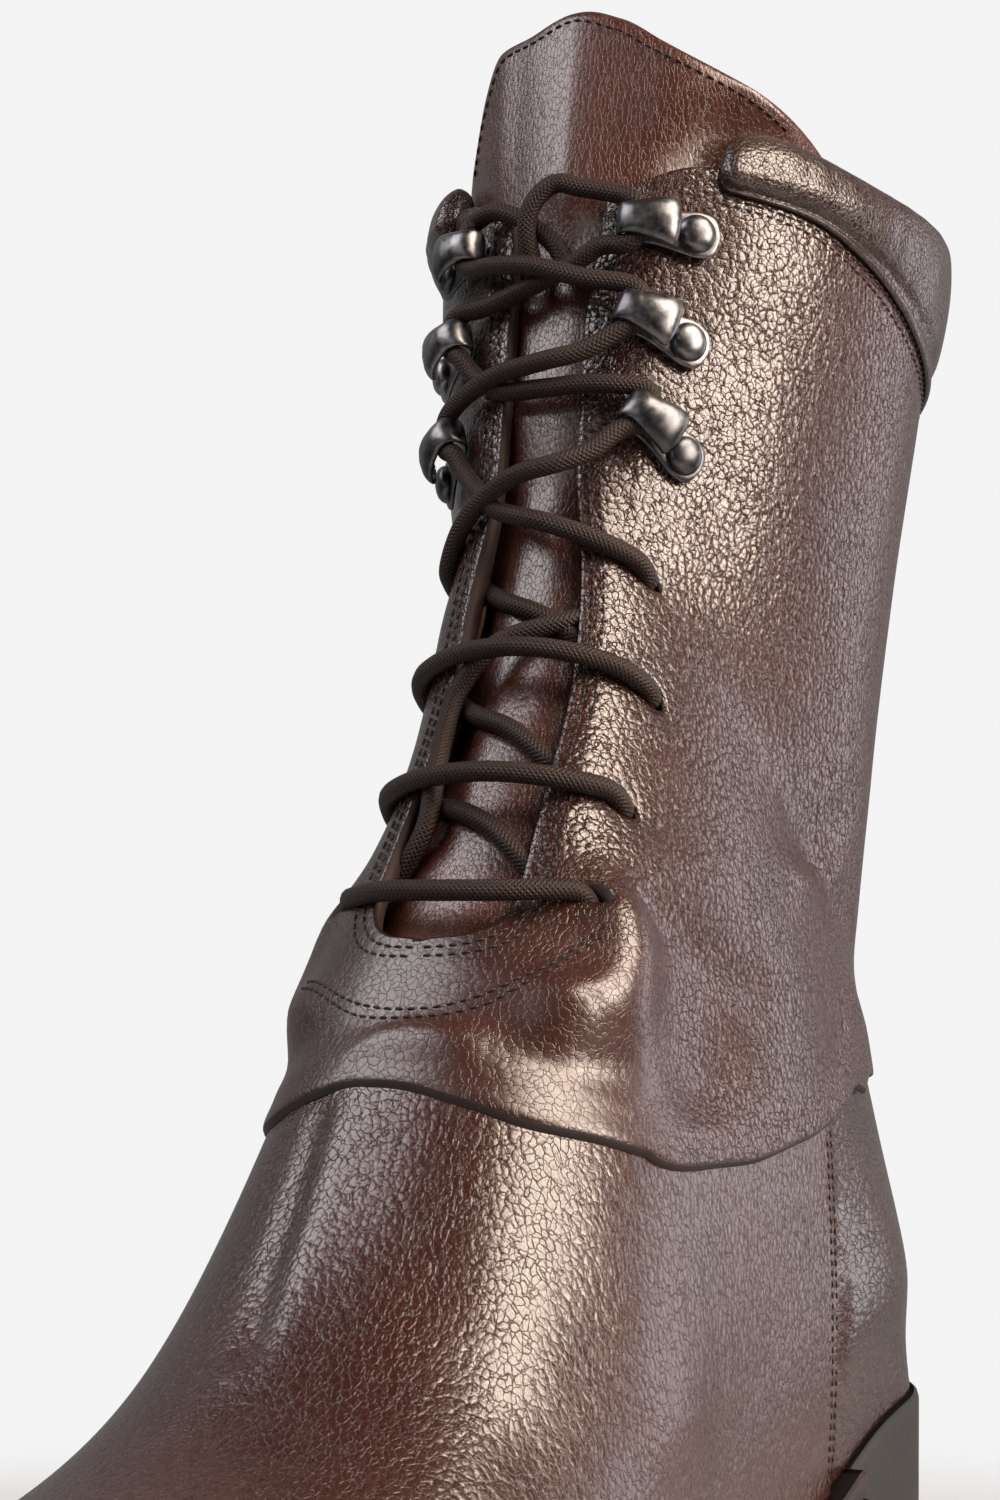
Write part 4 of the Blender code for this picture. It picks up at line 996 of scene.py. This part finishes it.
def lace_route():
    """The lace from its first tucked end through hooks and eyelets to the other, as places in mm."""
    return np.concatenate([
        lace_over((352, .024, .3), (361, .014, .9), (368, .002, 1.7), (375, -.018, 2.5), (382, -.045, 3.4),
                  (387, -.085, 4.6), (383, -.118, 5.3)),
        round_hook(3, -1, True),
        lace_over((357, -.069, 5.6), (350, -.004, 6.0), (343, .062, 5.6)),
        round_hook(2, 1, True),
        lace_over((313, .08, 5.7), (308, .02, 6.0), (307, -.06, 5.8), (307.5, -.12, 5.6)),
        round_hook(1, -1, True),
        lace_over((288, -.15, 4.8), (276, -.11, 3.6), (265, -.058, 3.0), (258.5, .027, 3.0),
                  (258.5, .113, 3.3)),
        through_eyelet(4, 1, False),
        lace_over((252, .15, -2.6), (241, .07, -1.6), (234, -.03, .2), (226, -.084, .4), (214, -.086, .4),
                  (198, -.07, .4), (184, -.064, -.6), (176, -.12, -2.4)),
        through_eyelet(1, -1, True),
        lace_over((166, -.14), (159.5, -.07), (156.5, .01), (160, .09), (166, .14)),
        through_eyelet(1, 1, False),
        lace_over((179, .069, UNDER), (185, .02, UNDER), (191, -.029, UNDER), (200, -.12, -2.8)),
        through_eyelet(2, -1, True),
        lace_over((199.5, -.14), (194.5, -.07), (192.7, .01), (195, .09), (199.5, .145)),
        through_eyelet(2, 1, False),
        lace_over((209, .069, UNDER), (216, .004, UNDER), (222, -.058, UNDER), (231, -.13, -2.8)),
        through_eyelet(3, -1, True),
        lace_over((233, -.15), (230.5, -.07), (229.5, .01), (230.5, .09), (233, .15)),
        through_eyelet(3, 1, False),
        lace_over((240, .062, UNDER), (242, .016, UNDER), (246, -.044, UNDER), (257, -.13, -2.8)),
        through_eyelet(4, -1, True),
        lace_over((266, -.13, 3.8), (267.5, -.07, 5.0), (269.5, -.01, 6.2), (273, .05, 6.3),
                  (281, .105, 6.0)),
        round_hook(1, 1),
        lace_over((306, .13, 5.0), (304.5, .075, 3.6), (303.5, .0, 2.8), (306, -.07, 3.4), (316, -.12, 4.8)),
        round_hook(2, -1),
        lace_over((341, -.085, 4.0), (346, -.025, 2.8), (353, .036, 3.2), (361, .082, 4.6)),
        round_hook(3, 1),
        lace_over((383, .105, 5.3), (387, .066, 4.7), (389.5, .036, 5.0), (392.5, .012, 5.7),
                  (387, -.007, 6.2), (377, -.021, 5.7), (367, -.025, 3.8), (357, -.022, 1.5),
                  (347, -.018, .3)),
    ])


def make_lace():
    """One round lace: 14-sided rings carried along its route with no twist, and closed round ends."""
    line = smooth_line(lace_route(), .8)
    for _ in range(3):
        line[1:-1] += .5*((line[:-2] + line[2:])/2 - line[1:-1])
    slope = unit(np.gradient(line, axis=0))
    first = np.zeros_like(line)
    first[0] = unit(np.cross(slope[0], (0, 0, 1.0)))
    for k in range(1, len(line)):
        first[k] = unit(first[k - 1] - slope[k]*(first[k - 1] @ slope[k]))
    second = np.cross(slope, first)
    # the last place round a ring is the first again, with a UV of its own there
    turn = np.linspace(0, 2*np.pi, LACE_SIDES + 1)
    along = run_length(line)
    radius = LACE_RADIUS*quarter_round(np.minimum(along, along[-1] - along)/LACE_RADIUS)
    rings = line[:, None] + radius[:, None, None]*(np.cos(turn)[:, None]*first[:, None]
                                                  + np.sin(turn)[:, None]*second[:, None])
    uv = np.stack(np.broadcast_arrays(along[:, None], turn/(2*np.pi)), -1)
    lace = piece("lace_cord", rings, grid_quads(*rings.shape[:2]), [LACE], "cord",
                 ["lace_bar_1", "lace_bar_2", "lace_bar_3", "lace_cross_1", "lace_cross_2", "lace_cross_3",
                  "lace_knot"], uv=uv)


# Stitches

STITCH_SIDES = 6
# share of its length, share of its radius, mm lifted off the hide
STITCH_FORM = ((0, .15, -.25), (.1, .75, .02), (.5, 1, .12), (.9, .75, .02), (1, .15, -.25))
INSTEP_ROW = ((152, -.200), (133, -.058), (131, .027), (137, .096), (148, .156), (158, .187),
              (168, .219))                # q, a


def thread_run(face, q, a, pitch=2.2, length=1.6, radius=.27):
    """Stitches along a (q, a) line on a face: capsules that rise from the hide and dip in at both ends."""
    q, a = np.asarray(q, float), np.asarray(a, float)
    along = run_length(face(q, a))
    middle = np.arange(pitch/2, along[-1], pitch)
    ends = middle[:, None] + np.array([-.5, .5])*length
    end_q, end_a = np.interp(ends, along, q), np.interp(ends, along, a)
    places = face(end_q, end_a)
    _, _, _, out = frames_at(end_q.mean(1), end_a.mean(1), SHAFT_STEP)
    side = np.cross(out, unit(places[:, 1] - places[:, 0]))
    share, swell, lift = np.array(STITCH_FORM).T
    turn = np.linspace(0, 2*np.pi, STITCH_SIDES, endpoint=False)
    core = (places[:, None, 0] + share[:, None]*(places[:, None, 1] - places[:, None, 0])
            + lift[:, None]*out[:, None])
    rings = core[:, :, None] + radius*swell[:, None, None]*(np.cos(turn)[:, None]*side[:, None, None]
                                                           + np.sin(turn)[:, None]*out[:, None, None])
    count = np.arange(len(rings))[:, None, None]
    quads = count*len(share)*STITCH_SIDES + tube_quads(len(share), STITCH_SIDES)
    return rings.reshape(-1, 3), quads.reshape(-1, 4)


def dense(line):
    """A (q, a) line read at many places on a smooth curve through its rows."""
    # q and a brought to like sizes for the curve
    rows = np.array([(q/10, a*15, 0) for q, a in line], float)
    fine = smooth_line(rows, .05)
    return fine[:, 0]*10, fine[:, 1]/15


def tongue_skin(q, a):
    """The tongue's outer face above the collar, for its stitches."""
    tuck = TONGUE_TUCK*ease(np.abs(a), .1, .24)*ease(q, 345, 385)
    return skin(q, a, tongue_rise(q, a) - SHAFT_INSIDE - .8 - tuck)


def make_all_stitches():
    """Double rows round the throat, the instep, under the roll and up the side seam; one on the tongue."""
    runs = []
    for away in (2.4, 4.6):
        q, a = beside_throat(away)
        runs += [thread_run(shaft_skin, q, side*a) for side in (1, -1)]
    q, a = dense(INSTEP_ROW)
    runs += [thread_run(shaft_skin, q - shift, a) for shift in (0.0, 2.3)]
    way = np.linspace(.2, 1, 200)
    for below in (2.6, 4.6):
        q = steady(ROLL_LOWER_EDGE, way) - below
        runs += [thread_run(shaft_skin, q, side*throat_shift(way, q)) for side in (1, -1)]
    piece("shaft_stitches", *joined(runs), [THREAD], "leather_upper")
    a = np.linspace(.5, .97, 90)
    row = np.linspace(120, 260, 400)
    runs = []
    for side in (1, -1):
        for ahead in (1.6, 3.6):
            q = np.array([np.interp(-(SEAM_X + ahead), -skin(row, share)[:, 0], row) for share in a])
            shown = q < steady(SHAFT_EDGE, a) - 1
            runs.append(thread_run(vamp_skin, q[shown], side*a[shown], 1.9, 1.35, .18))
    piece("seam_stitches", *joined(runs), [THREAD], "leather_upper")
    a = np.linspace(-.235, .33, 200)
    rim = steady(TONGUE_TOP, a)
    slope = np.gradient(rim, a)/150
    q = rim - 2.6*np.sqrt(1 + slope**2)
    piece("tongue_stitches", *thread_run(tongue_skin, q, a), [THREAD], "leather_tongue")


# Sole

LUG_ROWS = (248.0, 118.0, -19.0)          # x of the first row, of the end, and the step


def outline_loop(q, margin):
    """Plan of the sole's edge: up the lateral side from the last q to the tip, and down the medial one."""
    lateral, medial = skin(q, 1.0, margin), skin(q, -1.0, margin)
    return np.concatenate([lateral[::-1], medial[1:]])


def slab(q, levels):
    """Solid of loops of the sole's outline one above another; top and bottom are strips across it."""
    rings = []
    for margin, height in levels:
        ring = outline_loop(q, margin)
        ring[:, 2] = np.concatenate([height[::-1], height[1:]])
        rings.append(ring)
    points, quads = capped(np.array(rings))
    # the top strip runs the same way round as the bottom one, which shades the top edge dark
    top = slice(-2*(len(q) - 1), -(len(q) - 1))
    quads[top] = quads[top, ::-1].copy()
    return points, quads


def sole_bottom(q):
    """Height of the outsole's underside between the lugs: thick at the ball, thin at the breast."""
    share = np.clip((column("bottom_x", q) - HEEL_BREAST_X)/(BALL_X - HEEL_BREAST_X), 0, 1)
    height = column("bottom_z", q) - SOLE_AT_BREAST - (SOLE_AT_BALL - SOLE_AT_BREAST)*share
    return np.where(np.abs(height - LUG_DEPTH) < .7, LUG_DEPTH, height)


def lug_block(corners, bottom, top):
    """Tapered lug: its four corners rounded, carried from its root down to a bevelled foot."""
    corners = np.asarray(corners, float)
    middle = corners.mean(0)
    turn = np.arange(24)/24*4
    k = turn.astype(int)
    share = (turn - k)[:, None]
    plan = corners[k % 4]*(1 - share) + corners[(k + 1) % 4]*share
    rounded = (np.roll(plan, 1, 0) + 2*plan + np.roll(plan, -1, 0))/4
    heights = bottom[k % 4]*(1 - share[:, 0]) + bottom[(k + 1) % 4]*share[:, 0]
    roots = top[k % 4]*(1 - share[:, 0]) + top[(k + 1) % 4]*share[:, 0]
    rings = []
    for scale, level in ((0, 1), (1.0, 1), (.98, .6), (.9, .12), (.86, .04), (.8, 0), (0, 0)):
        flat = middle + (rounded - middle)*scale
        rise = heights + (roots - heights)*level
        rings.append(np.column_stack([flat, np.full(24, rise.mean()) if scale == 0 else rise]))
    return np.array(rings).reshape(-1, 3), grid_quads(7, 24, closed=True)


def even_outline(first_x, last_x, count):
    """q rows at equal steps of the sole's edge between two x."""
    q = np.linspace(*q_of_bottom([first_x, last_x]), 3000)
    along = run_length(skin(q, 1.0))
    return np.interp(np.linspace(0, along[-1], count), along, q)


def make_sole():
    """Outsole with its lugs, and midsole: loops of the sole's outline, its margin and height at each."""
    q = even_outline(TIP_X, HEEL_BREAST_X + GAP, 110)
    top = column("bottom_z", q) - MIDSOLE - GAP
    bottom = sole_bottom(q)
    half = (top + bottom)/2
    proud = SOLE_MARGIN + .8
    groove = SOLE_MARGIN + .3
    parts = [slab(q, ((SOLE_MARGIN - .6, top), (SOLE_MARGIN + .4, top - .4), (proud, top - 1.2),
                      (proud, half + .9), (groove, half + .5), (SOLE_MARGIN, half), (groove, half - .5),
                      (proud, half - .9), (proud, bottom + .5), (groove, bottom)))]
    for k, x in enumerate(np.arange(*LUG_ROWS)):
        ends = np.array([x + 6, x - 6])
        lugs = []
        for edge in (1, -1):
            outline = skin(q_of_bottom(ends), edge, SOLE_MARGIN - .3)
            inner_y = outline[:, 1] - edge*19.0
            lugs.append([outline[0, :2], outline[1, :2], (ends[1] - 3, inner_y[1]),
                         (ends[0] - 3, inner_y[0])])
        bar = x - 9.5
        lugs.append([(bar + 5, -11), (bar + 5, 13), (bar - 5, 13), (bar - 5, -11)])
        if k == 0:
            lugs.append([(x + 22, -9), (x + 22, 9), (x + 11.5, 17), (x + 11.5, -17)])
        for corners in lugs:
            root = sole_bottom(q_of_bottom([corner[0] for corner in corners]))
            parts.append(lug_block(corners, np.maximum(root - LUG_DEPTH, 0), root + 2))
    piece("outsole_rubber", *joined(parts), [RUBBER], "rubber", ["outsole"])
    top = column("bottom_z", q) - GAP
    levels = ((SOLE_MARGIN - 1.4, top), (SOLE_MARGIN - .6, top - .5), (SOLE_MARGIN - .4, top - 1.4),
              (SOLE_MARGIN - .4, top - MIDSOLE + 1.4), (SOLE_MARGIN - 1, top - MIDSOLE + GAP))
    piece("midsole_edge", *slab(q, levels), [EDGE_LEATHER], "edge_leather", ["midsole"])


def make_heel():
    """Heel block and heel lift with its lugs, and the insole: loops of the sole's outline as well."""
    q = even_outline(HEEL_BREAST_X, HEEL_BACK_X, 80)
    top = column("bottom_z", q) - GAP
    flat = np.ones(len(q))
    levels = ((HEEL_MARGIN - .9, top), (HEEL_MARGIN - .3, top - .5), (HEEL_MARGIN, top - 1.6),
              (HEEL_MARGIN - .4, flat*38), (HEEL_MARGIN - .6, flat*25), (HEEL_MARGIN - .4, flat*16),
              (HEEL_MARGIN, flat*(HEEL_LIFT + GAP)))
    piece("heel_cover", *slab(q, levels), [HEEL_COVER], "heel_cover", ["heel_block"])
    parts = [slab(q, ((HEEL_MARGIN, flat*HEEL_LIFT), (HEEL_MARGIN + .6, flat*(HEEL_LIFT - .4)),
                      (HEEL_MARGIN + .8, flat*(HEEL_LIFT - 1.2)), (HEEL_MARGIN + .8, flat*5.2),
                      (HEEL_MARGIN + .3, flat*4.5)))]
    lugs = [[(13.5, 14), (6.5, 9), (6.5, -9), (13.5, -14)]]
    for x in (57.0, 41.0, 25.0):
        ends = np.array([x + 5.5, x - 5.5])
        for edge in (1, -1):
            side = skin(q_of_bottom(ends), edge, HEEL_MARGIN)[:, 1] - edge*.3
            lugs.append([(ends[0], side[0]), (ends[1], side[1]), (ends[1], edge*7.0), (ends[0], edge*7.0)])
    parts += [lug_block(corners, np.zeros(4), np.full(4, 6.5)) for corners in lugs]
    piece("heel_lift_rubber", *joined(parts), [RUBBER], "rubber", ["heel_lift"])
    q = even_outline(TIP_X, HEEL_BACK_X, 160)
    bed = column("bottom_z", q)
    levels = ((-WALL - 2.6, bed + 3), (-WALL - 2.0, bed + 2.6), (-WALL - 1.0, bed + .1))
    piece("insole_bed", *slab(q, levels), [LINING], "lining", ["insole"])


# Back stay and pull tab keep their solids' form

STAY_EDGE = 14/16                         # a
STAY_HALF_COLUMNS = 13


def make_back_stay():
    """Strip up the back of the heel: a flat band with rounded long edges over the counter."""
    half = np.linspace(STAY_EDGE, 1, STAY_HALF_COLUMNS)
    way = np.concatenate([half, half[-2::-1]])
    side = np.repeat([1, -1], [STAY_HALF_COLUMNS, STAY_HALF_COLUMNS - 1])
    share = np.linspace(HEEL_BACK_Q/BACK_EDGE_Q + .012, .985, 60)[:, None]
    q = steady(SHAFT_EDGE, way)*share
    from_edge = 1 - np.abs(np.linspace(-1, 1, len(way)))
    round_off = .9*(1 - quarter_round(from_edge/.12))
    points, quads, kinds = grid_wall(vamp_skin(q, way*side, GAP + .8 - round_off),
                                     vamp_skin(q, way*side, GAP - .2))
    piece("back_stay_leather", points, quads, [COUNTER_LEATHER, RAW_EDGE], "leather_stay", ["back_stay"],
          np.minimum(kinds, 1))


def make_pull_tab():
    """Folded tab inside the back of the collar: a rounded strip, softer towards its top."""
    back = skin(COLLAR_EDGE[-1][1], 1.0, -(SHAFT_INSIDE + GAP + .1 + 2.2 + GAP))
    height = np.linspace(-14, 7.2, 34)[:, None]
    turn = np.linspace(0, 2*np.pi, 36, endpoint=False)
    inset = 3.0*ease(height, 3, 7.2)**2
    ends = np.sqrt(1 - np.clip((height - 5.4)/1.8, 0, .97)**2)
    y = (7.0 - inset)*squared(np.cos(turn), .35)
    x = back[0] + 3.6 - .2*np.minimum(height, 0) + 1.2*ends*squared(np.sin(turn), .6)
    rings = np.stack(np.broadcast_arrays(x, y, back[2] + height), -1)
    piece("pull_tab_leather", *capped(rings), [ROLL_LEATHER], "leather_collar", ["pull_tab"])


# Camera, floor and light

LAMP_DISTANCE = 1.6                       # m
# name, azimuth and elevation in degrees, size in m, radiance, colour
LAMPS = (
    ("key", 86, 44, (1.1, .8), 12.5, (1, .83, .69)),
    ("low_key", 96, 13, (.9, .8), 14.5, (1, .84, .71)),
    ("side_panel", 152, 7, (.5, .9), 2.3, (.97, .95, 1)),
    ("left_panel", -48, 43, (1.3, .9), 4.2, (1, .94, .96)),
    ("front_fill", -14, 12, (1.4, 1.2), .65, (1, .95, .93)),
)


def make_camera():
    """Camera at the photograph's angle."""
    lens = bpy.data.cameras.new("camera")
    lens.lens = 66
    lens.sensor_width = 36
    camera = bpy.data.objects.new("camera", lens)
    pitch, turn = math.radians(7.15), math.radians(30)
    look = Vector((-math.cos(turn)*math.cos(pitch), -math.sin(turn)*math.cos(pitch), math.sin(pitch)))
    camera.location = (.40154, .23212, .115)
    camera.rotation_euler = look.to_track_quat("-Z", "Y").to_euler()
    bpy.context.scene.collection.objects.link(camera)
    bpy.context.scene.camera = camera


def softbox(name, azimuth, elevation, size, radiance, colour):
    """Area light that looks at the boot from an azimuth and elevation; its power comes from its radiance."""
    lamp = bpy.data.lights.new(name, "AREA")
    lamp.shape = "RECTANGLE"
    lamp.size, lamp.size_y = size
    lamp.energy = radiance*math.pi*size[0]*size[1]
    lamp.color = colour
    light = bpy.data.objects.new(name, lamp)
    turn, rise = math.radians(azimuth), math.radians(elevation)
    away = Vector((math.cos(turn)*math.cos(rise), math.sin(turn)*math.cos(rise), math.sin(rise)))
    light.location = Vector((0, 0, .15)) + away*LAMP_DISTANCE
    light.rotation_euler = (-away).to_track_quat("-Z", "Y").to_euler()
    light.visible_camera = False
    bpy.context.scene.collection.objects.link(light)


def make_floor():
    """Pale disc under the boot, which fades out between 0.22 and 0.5 m from the middle."""
    ring = np.linspace(0, 2*np.pi, 64, endpoint=False)
    radius = np.array([0, 300, 600, 900, 1200])[:, None]
    points = np.stack(np.broadcast_arrays(radius*np.cos(ring), radius*np.sin(ring), -.2), -1) + CENTRE
    mesh = new_mesh("floor", points.reshape(-1, 3), grid_quads(len(radius), len(ring), closed=True))[0]
    material, tree, shader = new_material("pale paper floor")
    place = add_node(tree, "TexCoord", out="Object")
    far = add_node(tree, "VectorMath", {0: place}, "Value", operation="LENGTH")
    fade = add_node(tree, "MapRange", {"Value": far, "From Min": .22, "From Max": .5, "To Min": 1.0,
                                       "To Max": 0.0}, interpolation_type="SMOOTHSTEP")
    feed(shader, {"Base Color": linear("#b9b9bb"), "Roughness": .9, "Alpha": fade})
    mesh.materials.append(material)
    floor = bpy.data.objects.new("floor", mesh)
    bpy.context.scene.collection.objects.link(floor)


def make_studio():
    """White backdrop that lights the boot from behind, dim on the camera's side, and the lamps."""
    world = bpy.data.worlds.new("studio")
    world.use_nodes = True
    bpy.context.scene.world = world
    tree = world.node_tree
    way = add_node(tree, "TexCoord", out="Generated")
    behind = add_node(tree, "VectorMath", {0: way, 1: (-math.cos(math.pi/6), -.5, 0)}, "Value",
                      operation="DOT_PRODUCT")
    share = add_node(tree, "MapRange", {"Value": behind, "From Min": -.05, "From Max": .75, "To Min": .015,
                                        "To Max": .27}, interpolation_type="SMOOTHSTEP")
    seen = add_node(tree, "LightPath", out="Is Camera Ray")
    light = add_node(tree, "Mix", {0: seen, 2: share, 3: .9})
    feed(tree.nodes["Background"], {"Color": (1, 1, 1, 1), "Strength": light})
    for lamp in LAMPS:
        softbox(*lamp)
    bpy.context.scene.view_settings.view_transform = "Standard"


make_camera()
make_floor()
make_studio()
make_lace()
make_vamp()
make_shaft()
make_tongue()
make_collar_roll()
for number, (hook_q, hook_a) in enumerate(HOOKS, 1):
    make_hook(f"hook_lateral_{number}", hook_q, hook_a)
    make_hook(f"hook_medial_{number}", hook_q, -hook_a)
make_all_stitches()
make_sole()
make_heel()
make_back_stay()
make_pull_tab()
